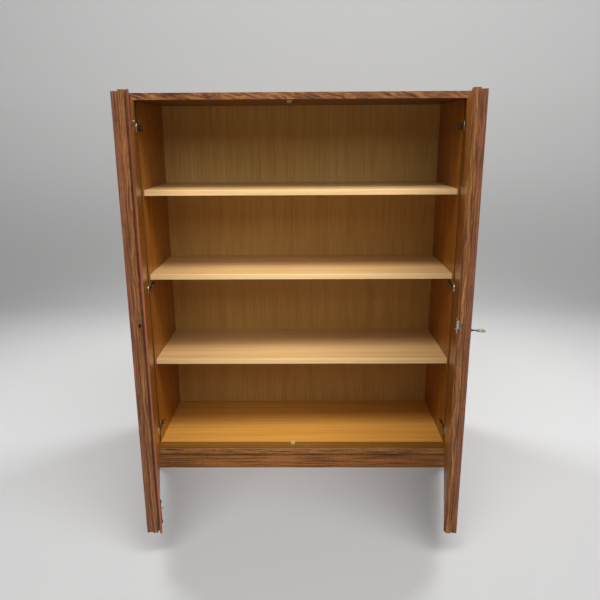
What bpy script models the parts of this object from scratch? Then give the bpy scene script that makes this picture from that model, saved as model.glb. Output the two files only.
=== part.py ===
"""Highboard: a veneered cupboard with three shelves behind two full-height doors, shown with both doors open.

Metres, +Z up. The origin lies on the floor, in the middle of the carcass. The doors open towards -Y.
Each door piece is drawn where it lies when the door is shut, and the door's empty then turns it open.
"""

import math

import bmesh
import bpy
from mathutils import Matrix, Vector

# Driving sizes of the carcass
WIDTH = 1.110
HEIGHT = 1.340
SIDE_DEPTH = 0.380
OVERHANG = 0.050
SIDE_BOARD = 0.019
CAP_BOARD = 0.022
PLINTH_HEIGHT = 0.061

# How far each door stands open
LEFT_OPENING = math.radians(76.7)
RIGHT_OPENING = math.radians(77.3)

# Working clearances
FIT = 0.0003
OVERRUN = 0.002
EASED_EDGE = 0.0008

# Back panel and its rebate
BACK_PANEL = 0.006
BACK_RECESS = 0.0095
BACK_REBATE = 0.009
BACK_SLACK = 0.001

# Front edges of the top and bottom boards
TOP_LIPPING = 0.006
TONGUE_THICK = 0.006
TONGUE_LONG = 0.008

# Dowels that stand out of the sides into the top and bottom boards
DOWEL_RADIUS = 0.004
DOWEL_LENGTH = 0.034
DOWEL_IN_CAP = 0.013
DOWEL_INSET = 0.050
DOWELS_PER_JOINT = 3

# Plinth with its corner blocks
PLINTH_BOARD = 0.019
PLINTH_SETBACK = 0.005
PLINTH_REAR_SETBACK = 0.012
BLOCK_LEG = 0.042
BLOCK_HEIGHT = 0.030
BLOCK_SCREW_LENGTH = 0.042

# Shelves and their pins
SHELF_BOARD = 0.019
SHELF_SETBACK = 0.014
SHELF_LIPPING = 0.005
SHELF_END_GAP = 0.001
SHELF_BACK_GAP = 0.001
UPPER_SHELF_DROP = 0.2895
MIDDLE_SHELF_RISE = 0.6505
LOWER_SHELF_RISE = 0.3305
PIN_RADIUS = 0.003
PIN_LENGTH = 0.020
PIN_IN_SIDE = 0.012
PIN_FRONT_INSET = 0.055
PIN_REAR_INSET = 0.050

# Doors
DOOR_GAP = 0.003
DOOR_END_GAP = 0.002
MEETING_GAP = 0.002
DOOR_PANEL = 0.020
DOOR_FRONT = 0.016
FRONT_INSET = 0.004
EDGE_REBATE_DEPTH = 0.005
EDGE_REBATE_WIDTH = 0.008
CLOSING_STRIP_THICK = 0.006
CLOSING_STRIP_LAP = 0.016
CLOSING_STRIP_PAST = 0.008

# Single-pivot cup hinges
UPPER_HINGE_DROP = 0.085
MIDDLE_HINGE_RISE = 0.606
LOWER_HINGE_RISE = 0.058
PIVOT_FROM_EDGE = 0.0075
PIVOT_DEPTH = 0.010
HINGE_PIN_RADIUS = 0.00125
CUP_RADIUS = 0.0172
CUP_WALL = 0.0008
CUP_DEPTH = 0.0135
CUP_EDGE = 0.003
FLANGE_RADIUS = 0.0186
FLANGE_THICK = 0.0008
CHEEK_THICK = 0.0018
CHEEK_HALF_WIDTH = 0.0024
CHEEK_PAST_PIVOT = 0.0030
KNUCKLE_RADIUS = 0.0025
ARM_THICK = 0.0025
ARM_WIDTH = 0.0090
ARM_REACH = 0.062
ARM_BEND = 0.0030
HINGE_PLATE_THICK = 0.0015
HINGE_PLATE_WIDTH = 0.018
HINGE_PLATE_FRONT = 0.003
HINGE_PLATE_PAST_ARM = 0.004
HINGE_SCREW_INSETS = (0.026, 0.054)
HINGE_SCREW_IN_SIDE = 0.013
HINGE_SCREW_HEAD = 0.0038

# Surface bolts on the left door and their keepers
BOLT_INSET = 0.034
BOLT_PLATE_WIDTH = 0.016
BOLT_PLATE_THICK = 0.0015
BOLT_PLATE_LENGTH = 0.078
BOLT_ROD_RADIUS = 0.0025
BOLT_ROD_STAND_OFF = 0.0050
BOLT_TIP_RISE = 0.0105
BOLT_GUIDE_LENGTH = 0.008
BOLT_GUIDE_WALL = 0.0015
BOLT_GUIDE_INSET = 0.0010
KNOB_STEM_RADIUS = 0.0016
KNOB_REACH = 0.0145
KNOB_BALL_RADIUS = 0.0028
LOWER_KNOB_RISE = 0.0605
UPPER_KNOB_DROP = 0.0745
KEEPER_WIDTH = 0.016
KEEPER_THICK = 0.0012
KEEPER_FOOT = 0.020
KEEPER_TAB = 0.0095
KEEPER_CORNER = 0.004
KEEPER_CLEARANCE = 0.0004

# Small wood screws with raised heads
SCREW_RADIUS = 0.0014
SCREW_HEAD = 0.0026
SCREW_HEAD_RISE = 0.0007
SCREW_HEAD_SINK = 0.0005
SHORT_SCREW = 0.011
BACK_SCREW_LENGTH = 0.020
BACK_SCREW_HEAD = 0.0032
BACK_SCREWS_UP = 5
BACK_SCREWS_ACROSS = 3
BACK_SCREW_END = 0.060
BACK_SCREW_CORNER = 0.120

# Lock in the right door and its key
KEY_RISE = 0.6205
KEY_BACKSET = 0.022
LOCK_BOLT_RISE = 0.638
LOCK_CASE_BOTTOM = 0.6135
LOCK_CASE_TOP = 0.6485
LOCK_CASE_LENGTH = 0.026
LOCK_CASE_DEPTH = 0.0150
LOCK_CASE_WALL = 0.0010
LOCK_PLATE_THICK = 0.0012
LOCK_PLATE_MARGIN = 0.0045
LOCK_TURNED_EDGE_RISE = 0.625
LOCK_BOLT_THICK = 0.0045
LOCK_BOLT_HEIGHT = 0.0090
LOCK_BOLT_THROW = 0.008
LOCK_BOLT_DEPTH = 0.0110
LOCK_BOLT_RECESS = 0.0012
LOCK_TAIL_WALL = 0.0028
LOCK_TALON_HALF = 0.0034
LOCK_TAIL_DROP = 0.0142
SPINDLE_RADIUS = 0.0030
SPINDLE_PAST = 0.0025
CAM_FINGER = 0.0070
CAM_FINGER_HALF = 0.0012
CAM_THICK = 0.0030
CAM_LEAN = math.radians(45)
KEY_SOCKET_DEPTH = 0.009
KEY_SHANK_RADIUS = 0.0018
KEY_STANDS_OUT = 0.038
KEY_BOW_LENGTH = 0.022
KEY_BOW_WIDTH = 0.020
KEY_BOW_THICK = 0.0040
KEY_BOW_RING = 0.0042
KEY_COLLAR_RADIUS = 0.0034
KEY_COLLAR_LENGTH = 0.003
BUSH_RADIUS = 0.0040
BUSH_WALL = 0.0012
BUSH_RIM_RADIUS = 0.0070
BUSH_RIM_THICK = 0.0010
BUSH_IN_PANEL = 0.004

# Strike in the left door's edge
STRIKE_HEIGHT = 0.038
STRIKE_WIDTH = 0.010
STRIKE_THICK = 0.0012
STRIKE_MARGIN = 0.0010
STRIKE_POCKET = 0.012
STRIKE_SCREW_INSET = 0.0045

# Number of sides on round pieces
ROUND_SIDES = 12
CUP_SIDES = 20
SCREW_SIDES = 8
BOW_SIDES = 20
SMOOTH_ANGLE = math.radians(40)

# Places worked out from the sizes above
HALF_WIDTH = WIDTH / 2
INNER_X = HALF_WIDTH - SIDE_BOARD
FRONT_Y = -SIDE_DEPTH / 2
REAR_Y = SIDE_DEPTH / 2
NOSE_Y = FRONT_Y - OVERHANG
BACK_OUTER_Y = REAR_Y - BACK_RECESS
BACK_Y = BACK_OUTER_Y - BACK_PANEL
FLOOR_Z = PLINTH_HEIGHT + CAP_BOARD
CEILING_Z = HEIGHT - CAP_BOARD
SIDE_BOTTOM = FLOOR_Z + FIT
SIDE_TOP = CEILING_Z - FIT
BLOCK_BOTTOM = PLINTH_HEIGHT - FIT - BLOCK_HEIGHT
DOOR_BOTTOM = FLOOR_Z + DOOR_END_GAP
DOOR_TOP = CEILING_Z - DOOR_END_GAP
DOOR_INNER_Y = FRONT_Y - DOOR_GAP
DOOR_MIDDLE_Y = DOOR_INNER_Y - DOOR_PANEL
DOOR_OUTER_Y = DOOR_MIDDLE_Y - DOOR_FRONT
FREE_EDGE_X = MEETING_GAP / 2
PIVOT_X = HALF_WIDTH - PIVOT_FROM_EDGE
PIVOT_Y = DOOR_INNER_Y - PIVOT_DEPTH
CUP_X = HALF_WIDTH - CUP_EDGE - CUP_RADIUS
SHELF_TOPS = {
    "upper": CEILING_Z - UPPER_SHELF_DROP,
    "middle": FLOOR_Z + MIDDLE_SHELF_RISE,
    "lower": FLOOR_Z + LOWER_SHELF_RISE,
}
HINGE_LEVELS = {
    "upper": CEILING_Z - UPPER_HINGE_DROP,
    "middle": FLOOR_Z + MIDDLE_HINGE_RISE,
    "lower": FLOOR_Z + LOWER_HINGE_RISE,
}
PLATE_X = INNER_X - FIT
ARM_X = PLATE_X - HINGE_PLATE_THICK - FIT
KEEPER_BACK_Y = DOOR_INNER_Y + KEEPER_CLEARANCE + KEEPER_THICK
KEEPER_SCREW_Y = KEEPER_BACK_Y - KEEPER_THICK - KEEPER_FOOT / 2
KEY_X = FREE_EDGE_X + KEY_BACKSET
KEY_Z = FLOOR_Z + KEY_RISE
LOCK_BOLT_Y = DOOR_INNER_Y - LOCK_BOLT_DEPTH
LOCK_BOLT_Z = FLOOR_Z + LOCK_BOLT_RISE
LOCK_SHOULDER_X = FREE_EDGE_X + EDGE_REBATE_WIDTH
LOCK_CASE_X = LOCK_SHOULDER_X + LOCK_PLATE_THICK + FIT
LOCK_CASE_END_X = LOCK_CASE_X + LOCK_CASE_LENGTH
LOCK_CASE_Y = DOOR_INNER_Y - LOCK_CASE_DEPTH
LOCK_CASE_LOW_Z = FLOOR_Z + LOCK_CASE_BOTTOM
LOCK_CASE_HIGH_Z = FLOOR_Z + LOCK_CASE_TOP

SIDES = {"left": -1, "right": 1}
OPENINGS = {"left": LEFT_OPENING, "right": RIGHT_OPENING}

# Finishes: colour, roughness and metallic value
WENGE = ((0.20, 0.085, 0.040), 0.45, 0.0)
WENGE_EDGE = ((0.26, 0.120, 0.060), 0.45, 0.0)
INNER_BROWN = ((0.36, 0.165, 0.055), 0.35, 0.0)
BLOND = ((0.66, 0.44, 0.21), 0.45, 0.0)
BACK_ASH = ((0.46, 0.27, 0.10), 0.55, 0.0)
ORANGE = ((0.56, 0.29, 0.10), 0.35, 0.0)
RAW_WOOD = ((0.60, 0.43, 0.26), 0.75, 0.0)
STRIP_RED = ((0.30, 0.100, 0.060), 0.40, 0.0)
STEEL = ((0.46, 0.45, 0.43), 0.35, 1.0)
BRIGHT_STEEL = ((0.72, 0.70, 0.67), 0.25, 1.0)
BRASS = ((0.72, 0.56, 0.27), 0.30, 1.0)


# Objects, materials and booleans


def clear_scene():
    for obj in list(bpy.data.objects):
        bpy.data.objects.remove(obj, do_unlink=True)


def material(name, finish):
    colour, roughness, metallic = finish
    made = bpy.data.materials.new(name)
    made.use_nodes = True
    shader = made.node_tree.nodes["Principled BSDF"]
    shader.inputs["Base Color"].default_value = (*colour, 1)
    shader.inputs["Roughness"].default_value = roughness
    shader.inputs["Metallic"].default_value = metallic
    made.diffuse_color = (*colour, 1)
    return made


def carrier(name, home, parent=None):
    """An empty on a joint's axis. It keeps its place with the doors shut as its home."""
    empty = bpy.data.objects.new(name, None)
    empty["home"] = home
    start = Vector(parent["home"]) if parent else Vector()
    empty.location = Vector(home) - start
    empty.parent = parent
    bpy.context.scene.collection.objects.link(empty)
    return empty


def make(name, shape, finish=None, carried_by=None, smooth=False):
    """Turns a bmesh into an object, carried by an empty where one is given."""
    bmesh.ops.recalc_face_normals(shape, faces=shape.faces)
    if carried_by:
        bmesh.ops.translate(shape, vec=-Vector(carried_by["home"]), verts=shape.verts)
    mesh = bpy.data.meshes.new(name)
    shape.to_mesh(mesh)
    shape.free()
    piece = bpy.data.objects.new(name, mesh)
    piece.parent = carried_by
    bpy.context.scene.collection.objects.link(piece)
    if finish:
        mesh.materials.append(material(name, finish))
    if smooth:
        mesh.shade_smooth()
        mesh.set_sharp_from_angle(angle=SMOOTH_ANGLE)
    return piece


def boolean(piece, shape, operation):
    helper = make(piece.name + "_" + operation.lower(), shape, carried_by=piece.parent)
    helper.hide_render = True
    helper.display_type = "WIRE"
    step = piece.modifiers.new(operation.lower(), "BOOLEAN")
    step.operation = operation
    step.object = helper


def cut(piece, *shapes):
    for shape in shapes:
        boolean(piece, shape, "DIFFERENCE")


def join(piece, *shapes):
    for shape in shapes:
        boolean(piece, shape, "UNION")


def ease_edges(piece):
    step = piece.modifiers.new("eased_edges", "BEVEL")
    step.width = EASED_EDGE
    step.segments = 1
    step.limit_method = "ANGLE"


# Shapes


def add_block(shape, low, high):
    """A box between two corners, given in any order."""
    low, high = Vector(map(min, low, high)), Vector(map(max, low, high))
    place = Matrix.Translation((low + high) / 2) @ Matrix.Diagonal((*(high - low), 1))
    bmesh.ops.create_cube(shape, size=1, matrix=place)


def block(low, high):
    shape = bmesh.new()
    add_block(shape, low, high)
    return shape


def add_prism(shape, outline, offset):
    """A flat outline, extruded by an offset."""
    corners = [shape.verts.new(point) for point in outline]
    face = shape.faces.new(corners)
    grown = bmesh.ops.extrude_face_region(shape, geom=[face])
    moved = [item for item in grown["geom"] if isinstance(item, bmesh.types.BMVert)]
    bmesh.ops.translate(shape, vec=offset, verts=moved)


def prism(outline, offset):
    shape = bmesh.new()
    add_prism(shape, outline, offset)
    return shape


def add_turned(shape, outline, start, axis, sides, closed=False):
    """Turns an outline of (radius, distance along the axis) points about the axis.

    A closed outline makes a ring. An open one gets flat ends, or a point where its radius is zero.
    """
    turn = Vector((0, 0, 1)).rotation_difference(Vector(axis)).to_matrix()
    rings = []
    for radius, along in outline:
        ring = []
        for step in range(sides if radius else 1):
            angle = math.tau * (step + 0.5) / sides
            point = Vector((radius * math.cos(angle), radius * math.sin(angle), along))
            ring.append(shape.verts.new(Vector(start) + turn @ point))
        rings.append(ring)
    following = rings[1:] + rings[:1] if closed else rings[1:]
    for ring, after in zip(rings, following):
        for first in range(sides):
            second = first + 1
            corners = [ring[first % len(ring)], ring[second % len(ring)]]
            corners += [after[second % len(after)], after[first % len(after)]]
            shape.faces.new(list(dict.fromkeys(corners)))
    if not closed:
        for ring in (rings[0], rings[-1]):
            if len(ring) > 1:
                shape.faces.new(ring)


def add_rod(shape, start, end, radius, sides=ROUND_SIDES):
    along = Vector(end) - Vector(start)
    add_turned(shape, [(radius, 0), (radius, along.length)], start, along, sides)


def rod(start, end, radius, sides=ROUND_SIDES):
    shape = bmesh.new()
    add_rod(shape, start, end, radius, sides)
    return shape


def add_screw(shape, seat, direction, length, head=SCREW_HEAD):
    """A wood screw whose raised head stands on the seat, sunk a little into it."""
    outline = [
        (head / 2, -SCREW_HEAD_RISE),
        (head, -SCREW_HEAD_RISE / 2),
        (head, SCREW_HEAD_SINK),
        (SCREW_RADIUS, SCREW_HEAD_SINK),
        (SCREW_RADIUS, length),
    ]
    add_turned(shape, outline, seat, direction, SCREW_SIDES)


def add_screw_bore(shape, seat, direction, length):
    """The bore for a screw's shank, from above the seat to just past the screw's end."""
    start = Vector(seat) - Vector(direction) * OVERRUN
    end = Vector(seat) + Vector(direction) * (length + FIT)
    add_rod(shape, start, end, SCREW_RADIUS + FIT, SCREW_SIDES)


def spread(low, high, count):
    """Evenly spaced values with the two ends included."""
    return [low + (high - low) * step / (count - 1) for step in range(count)]


def arc(centre, radius, start, end, steps):
    """Points in a plane along an arc, both ends included."""
    angles = spread(start, end, steps + 1)
    return [(centre[0] + radius * math.cos(a), centre[1] + radius * math.sin(a)) for a in angles]


def oval(centre, half_width, half_length, z, sides):
    """Points of a flat oval at a height, once round."""
    x, y = centre
    angles = [math.tau * step / sides for step in range(sides)]
    return [(x + half_width * math.cos(a), y + half_length * math.sin(a), z) for a in angles]


# Carcass


def dowels(above, grow=0.0):
    """The dowels of the top or the bottom joint, as axes with their side and radius."""
    low = CEILING_Z + DOWEL_IN_CAP - DOWEL_LENGTH if above else FLOOR_Z - DOWEL_IN_CAP
    high = low + DOWEL_LENGTH
    ys = spread(FRONT_Y + DOWEL_INSET, BACK_Y - DOWEL_INSET, DOWELS_PER_JOINT)
    found = []
    for side in SIDES.values():
        x = side * (INNER_X + SIDE_BOARD / 2)
        found += [(side, (x, y, low - grow), (x, y, high + grow), DOWEL_RADIUS + grow) for y in ys]
    return found


def back_screw_seats():
    """Places of the back panel's screws, as x and z."""
    edge_x = INNER_X + BACK_REBATE / 2
    bottom, top = FLOOR_Z - BACK_REBATE / 2, CEILING_Z + BACK_REBATE / 2
    zs = spread(FLOOR_Z + BACK_SCREW_END, CEILING_Z - BACK_SCREW_END, BACK_SCREWS_UP)
    xs = spread(-INNER_X + BACK_SCREW_CORNER, INNER_X - BACK_SCREW_CORNER, BACK_SCREWS_ACROSS)
    upright = [(side * edge_x, z) for side in SIDES.values() for z in zs]
    across = [(x, z) for z in (bottom, top) for x in xs]
    return upright + across


def back_screw_bores(wanted):
    bores = bmesh.new()
    for x, z in back_screw_seats():
        if wanted(x, z):
            add_screw_bore(bores, (x, BACK_OUTER_Y, z), (0, -1, 0), BACK_SCREW_LENGTH)
    return bores


def make_back():
    edge_x = INNER_X + BACK_REBATE - BACK_SLACK
    low_z, high_z = FLOOR_Z - BACK_REBATE + BACK_SLACK, CEILING_Z + BACK_REBATE - BACK_SLACK
    panel = make(
        "back_panel",
        block((-edge_x, BACK_Y + FIT, low_z), (edge_x, BACK_OUTER_Y, high_z)),
        BACK_ASH,
    )
    screws = bmesh.new()
    for x, z in back_screw_seats():
        add_screw(screws, (x, BACK_OUTER_Y, z), (0, -1, 0), BACK_SCREW_LENGTH, BACK_SCREW_HEAD)
    join(panel, screws)


def make_top():
    edge_y = NOSE_Y + TOP_LIPPING
    panel = make(
        "top_panel",
        block((-HALF_WIDTH, edge_y + FIT, CEILING_Z), (HALF_WIDTH, REAR_Y, HEIGHT)),
        WENGE,
    )
    rebate = block(
        (-INNER_X - BACK_REBATE, BACK_Y, CEILING_Z - OVERRUN),
        (INNER_X + BACK_REBATE, REAR_Y + OVERRUN, CEILING_Z + BACK_REBATE),
    )
    bores = bmesh.new()
    for _, low, high, radius in dowels(above=True, grow=FIT):
        add_rod(bores, low, high, radius)
    add_keeper_bore(bores, CEILING_Z, 1)
    cut(panel, rebate, bores, back_screw_bores(lambda x, z: z > CEILING_Z))
    lipping = block((-HALF_WIDTH, NOSE_Y, CEILING_Z), (HALF_WIDTH, edge_y, HEIGHT))
    ease_edges(make("top_front_lipping", lipping, WENGE_EDGE))


def make_bottom():
    panel = make(
        "bottom_panel",
        block((-HALF_WIDTH, FRONT_Y + FIT, PLINTH_HEIGHT), (HALF_WIDTH, REAR_Y, FLOOR_Z)),
        ORANGE,
    )
    middle_z = PLINTH_HEIGHT + CAP_BOARD / 2
    half_tongue = TONGUE_THICK / 2
    tongue_x = HALF_WIDTH - TONGUE_LONG
    rebate = block(
        (-INNER_X - BACK_REBATE, BACK_Y, FLOOR_Z - BACK_REBATE),
        (INNER_X + BACK_REBATE, REAR_Y + OVERRUN, FLOOR_Z + OVERRUN),
    )
    groove = block(
        (-tongue_x - FIT, FRONT_Y - OVERRUN, middle_z - half_tongue - FIT),
        (tongue_x + FIT, FRONT_Y + TONGUE_LONG + FIT, middle_z + half_tongue + FIT),
    )
    bores, strip_bores = bmesh.new(), bmesh.new()
    for _, low, high, radius in dowels(above=False, grow=FIT):
        add_rod(bores, low, high, radius)
    for seat in block_screw_seats():
        add_screw_bore(strip_bores if seat[1] < FRONT_Y else bores, seat, (0, 0, 1), BLOCK_SCREW_LENGTH)
    add_keeper_bore(strip_bores, FLOOR_Z, -1)
    cut(panel, rebate, groove, bores, back_screw_bores(lambda x, z: z < FLOOR_Z))

    strip = make(
        "bottom_front_strip",
        block((-HALF_WIDTH, NOSE_Y, PLINTH_HEIGHT), (HALF_WIDTH, FRONT_Y, FLOOR_Z)),
        WENGE_EDGE,
    )
    ease_edges(strip)
    tongue = block(
        (-tongue_x, FRONT_Y - TONGUE_LONG, middle_z - half_tongue),
        (tongue_x, FRONT_Y + TONGUE_LONG, middle_z + half_tongue),
    )
    join(strip, tongue)
    cut(strip, strip_bores)


def make_sides():
    for name, side in SIDES.items():
        panel = make(
            name + "_side",
            block((side * INNER_X, FRONT_Y, SIDE_BOTTOM), (side * HALF_WIDTH, REAR_Y, SIDE_TOP)),
            INNER_BROWN,
        )
        ease_edges(panel)
        rebate = block(
            (side * (INNER_X - OVERRUN), BACK_Y, SIDE_BOTTOM - OVERRUN),
            (side * (INNER_X + BACK_REBATE), REAR_Y + OVERRUN, SIDE_TOP + OVERRUN),
        )
        bores = back_screw_bores(lambda x, z: x * side > INNER_X)
        for y, z in hinge_screw_seats():
            add_screw_bore(bores, (side * INNER_X, y, z), (side, 0, 0), HINGE_SCREW_IN_SIDE)
        cut(panel, rebate, bores)
        pegs = bmesh.new()
        for above in (False, True):
            for dowel_side, low, high, radius in dowels(above):
                if dowel_side == side:
                    add_rod(pegs, low, high, radius)
        for y, z in shelf_pins(SHELF_TOPS.values()):
            start, end = side * (INNER_X + PIN_IN_SIDE), side * (INNER_X + PIN_IN_SIDE - PIN_LENGTH)
            add_rod(pegs, (start, y, z), (end, y, z), PIN_RADIUS)
        join(panel, pegs)


# Plinth


def plinth_limits():
    """Outer x, front y and rear y of the plinth."""
    return HALF_WIDTH - PLINTH_SETBACK, NOSE_Y + PLINTH_SETBACK, REAR_Y - PLINTH_REAR_SETBACK


def block_corners():
    """Inner corners of the plinth, with their side and the y direction in which each corner block runs."""
    x, front, rear = plinth_limits()
    inner_x = x - PLINTH_BOARD
    near, far = front + PLINTH_BOARD + FIT, rear - PLINTH_BOARD - FIT
    return [(side, side * inner_x, y, way) for side in SIDES.values() for y, way in ((near, 1), (far, -1))]


def block_screw_seats():
    inward = BLOCK_LEG / 3
    return [(x - side * inward, y + way * inward, BLOCK_BOTTOM) for side, x, y, way in block_corners()]


def make_plinth():
    x, front, rear = plinth_limits()
    top = PLINTH_HEIGHT - FIT
    inner_x, inner_front = x - PLINTH_BOARD, front + PLINTH_BOARD
    mitre_gap = FIT / math.sqrt(2)
    front_outline = [
        (-x + mitre_gap, front, 0),
        (x - mitre_gap, front, 0),
        (inner_x - mitre_gap, inner_front, 0),
        (-inner_x + mitre_gap, inner_front, 0),
    ]
    make("plinth_front", prism(front_outline, (0, 0, top)), WENGE)
    for name, side in SIDES.items():
        side_outline = [
            (side * x, front + mitre_gap, 0),
            (side * x, rear, 0),
            (side * inner_x, rear, 0),
            (side * inner_x, inner_front + mitre_gap, 0),
        ]
        rail = make("plinth_" + name, prism(side_outline, (0, 0, top)), WENGE)
        join(rail, corner_blocks(side), block_screws(side))
    back_x, back_y = inner_x - FIT, rear - PLINTH_BOARD
    make("plinth_back", block((-back_x, back_y, 0), (back_x, rear, top)), RAW_WOOD)
    half = PLINTH_BOARD / 2
    middle = block((-half, inner_front + FIT, 0), (half, back_y - FIT, top))
    make("plinth_middle", middle, RAW_WOOD)


def corner_blocks(wanted):
    """Three-cornered blocks glued to one side rail."""
    shapes = bmesh.new()
    for side, x, y, way in block_corners():
        if side == wanted:
            root = x + side * PLINTH_BOARD / 2
            end_x, end_y = x - side * BLOCK_LEG, y + way * BLOCK_LEG
            corners = [(root, y), (end_x, y), (x, end_y), (root, end_y)]
            base = [(px, py, BLOCK_BOTTOM) for px, py in corners]
            add_prism(shapes, base, (0, 0, BLOCK_HEIGHT - FIT))
    return shapes


def block_screws(side):
    """The screws that go up through one side's corner blocks into the bottom boards."""
    shapes = bmesh.new()
    for seat in block_screw_seats():
        if seat[0] * side > 0:
            add_screw(shapes, seat, (0, 0, 1), BLOCK_SCREW_LENGTH)
    return shapes


# Shelves


def shelf_pins(tops):
    """Axes of the pins that carry shelves with these top faces, as y and z."""
    ys = (FRONT_Y + PIN_FRONT_INSET, BACK_Y - PIN_REAR_INSET)
    return [(y, top - SHELF_BOARD + PIN_RADIUS) for top in tops for y in ys]


def make_shelves():
    end_x = INNER_X - SHELF_END_GAP
    front, rear = FRONT_Y + SHELF_SETBACK, BACK_Y - SHELF_BACK_GAP
    edge_y = front + SHELF_LIPPING
    grown = PIN_RADIUS + FIT
    slot_end = INNER_X + PIN_IN_SIDE - PIN_LENGTH - FIT
    for name, top in SHELF_TOPS.items():
        bottom = top - SHELF_BOARD
        shelf = make(name + "_shelf", block((-end_x, edge_y + FIT, bottom), (end_x, rear, top)), BLOND)
        slots = bmesh.new()
        for side in SIDES.values():
            for y, z in shelf_pins([top]):
                low = (side * (INNER_X + OVERRUN), y - grown, bottom - OVERRUN)
                add_block(slots, low, (side * slot_end, y + grown, z + grown))
        cut(shelf, slots)
        lipping = block((-end_x, front, bottom), (end_x, edge_y, top))
        ease_edges(make(name + "_shelf_lipping", lipping, BLOND))


# Doors


def make_door(name, side, door):
    free, hinge = side * FREE_EDGE_X, side * HALF_WIDTH
    panel = make(
        name + "_door_panel",
        block((free, DOOR_MIDDLE_Y, DOOR_BOTTOM), (hinge, DOOR_INNER_Y, DOOR_TOP)),
        INNER_BROWN,
        door,
    )
    ease_edges(panel)
    rebate = block(
        (free - side * OVERRUN, DOOR_INNER_Y - EDGE_REBATE_DEPTH, DOOR_BOTTOM - OVERRUN),
        (free + side * EDGE_REBATE_WIDTH, DOOR_INNER_Y + OVERRUN, DOOR_TOP + OVERRUN),
    )
    cups = bmesh.new()
    deep = DOOR_INNER_Y - CUP_DEPTH - CUP_WALL - FIT
    x = side * CUP_X
    for z in HINGE_LEVELS.values():
        add_rod(cups, (x, DOOR_INNER_Y + OVERRUN, z), (x, deep, z), CUP_RADIUS + FIT, CUP_SIDES)
    cut(panel, rebate, cups)
    low_z, high_z = DOOR_BOTTOM + FRONT_INSET, DOOR_TOP - FRONT_INSET
    front = make(
        name + "_door_front",
        block((free, DOOR_OUTER_Y, low_z), (hinge, DOOR_MIDDLE_Y - FIT, high_z)),
        WENGE,
        door,
    )
    ease_edges(front)
    return panel, front


def make_closing_strip(door):
    inner = DOOR_INNER_Y + FIT
    low = (-FREE_EDGE_X - CLOSING_STRIP_LAP, inner, DOOR_BOTTOM)
    high = (-FREE_EDGE_X + CLOSING_STRIP_PAST, inner + CLOSING_STRIP_THICK, DOOR_TOP)
    ease_edges(make("closing_strip", block(low, high), STRIP_RED, door))


def make_doors():
    doors = {}
    for name, side in SIDES.items():
        door = carrier(name + "_door_pivot", (side * PIVOT_X, PIVOT_Y, FLOOR_Z))
        panel, front = make_door(name, side, door)
        for level, z in HINGE_LEVELS.items():
            make_hinge(name, level, side, z, door)
        doors[name] = (door, panel, front)
    left, left_panel, _ = doors["left"]
    make_closing_strip(left)
    make_bolt("upper", CEILING_Z, 1, UPPER_KNOB_DROP, left, left_panel)
    make_bolt("lower", FLOOR_Z, -1, LOWER_KNOB_RISE, left, left_panel)
    make_strike(left, left_panel)
    make_lock(*doors["right"])
    for name, side in SIDES.items():
        doors[name][0].rotation_euler.z = side * OPENINGS[name]


# Hinges


def hinge_screw_seats():
    """Places of the hinge screws on a side, as y and z."""
    return [(FRONT_Y + inset, z) for z in HINGE_LEVELS.values() for inset in HINGE_SCREW_INSETS]


def make_hinge(name, level, side, z, door):
    """A cup let into the door, with a pin across it on which the arm from the side turns."""
    start = name + "_" + level + "_hinge_"
    pivot_x = side * PIVOT_X
    half_gap = ARM_WIDTH / 2 + FIT
    outer = half_gap + CHEEK_THICK

    cup_shape = bmesh.new()
    add_cup(cup_shape, (side * CUP_X, DOOR_INNER_Y + FIT, z))
    cup = make(start + "cup", cup_shape, BRIGHT_STEEL, door, smooth=True)
    cheeks = bmesh.new()
    floor = DOOR_INNER_Y - CUP_DEPTH - CUP_WALL / 2
    for way in (-1, 1):
        low = (pivot_x - CHEEK_HALF_WIDTH, floor, z + way * half_gap)
        high = (pivot_x + CHEEK_HALF_WIDTH, PIVOT_Y + CHEEK_PAST_PIVOT, z + way * outer)
        add_block(cheeks, low, high)
    join(cup, cheeks)
    reach = outer + FIT
    bore_ends = ((pivot_x, PIVOT_Y, z - reach), (pivot_x, PIVOT_Y, z + reach))
    cut(cup, rod(*bore_ends, HINGE_PIN_RADIUS + FIT))
    pin = rod((pivot_x, PIVOT_Y, z - outer), (pivot_x, PIVOT_Y, z + outer), HINGE_PIN_RADIUS)
    make(start + "pin", pin, STEEL, door, smooth=True)

    base = [(x, y, z - ARM_WIDTH / 2) for x, y in arm_outline(side)]
    arm = make(start + "arm", prism(base, (0, 0, ARM_WIDTH)), STEEL, smooth=True)
    cut(arm, rod(*bore_ends, HINGE_PIN_RADIUS + FIT))
    plate = make(start + "plate", plate_shape(side, z), STEEL)
    screws, bores = bmesh.new(), bmesh.new()
    length = INNER_X - ARM_X + ARM_THICK + HINGE_SCREW_IN_SIDE
    for inset in HINGE_SCREW_INSETS:
        seat = (side * (ARM_X - ARM_THICK), FRONT_Y + inset, z)
        add_screw(screws, seat, (side, 0, 0), length, HINGE_SCREW_HEAD)
        add_screw_bore(bores, seat, (side, 0, 0), length)
    join(arm, screws)
    cut(plate, bores)


def add_cup(shape, mouth):
    """An open cup with a flange, about the Y axis. Its mouth faces the cabinet."""
    inner = CUP_RADIUS - CUP_WALL
    floor = CUP_DEPTH + FIT
    outline = [
        (0, floor),
        (inner, floor),
        (inner, -FLANGE_THICK),
        (FLANGE_RADIUS, -FLANGE_THICK),
        (FLANGE_RADIUS, 0),
        (CUP_RADIUS, 0),
        (CUP_RADIUS, floor + CUP_WALL),
        (0, floor + CUP_WALL),
    ]
    add_turned(shape, outline, mouth, (0, -1, 0), CUP_SIDES)


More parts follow.
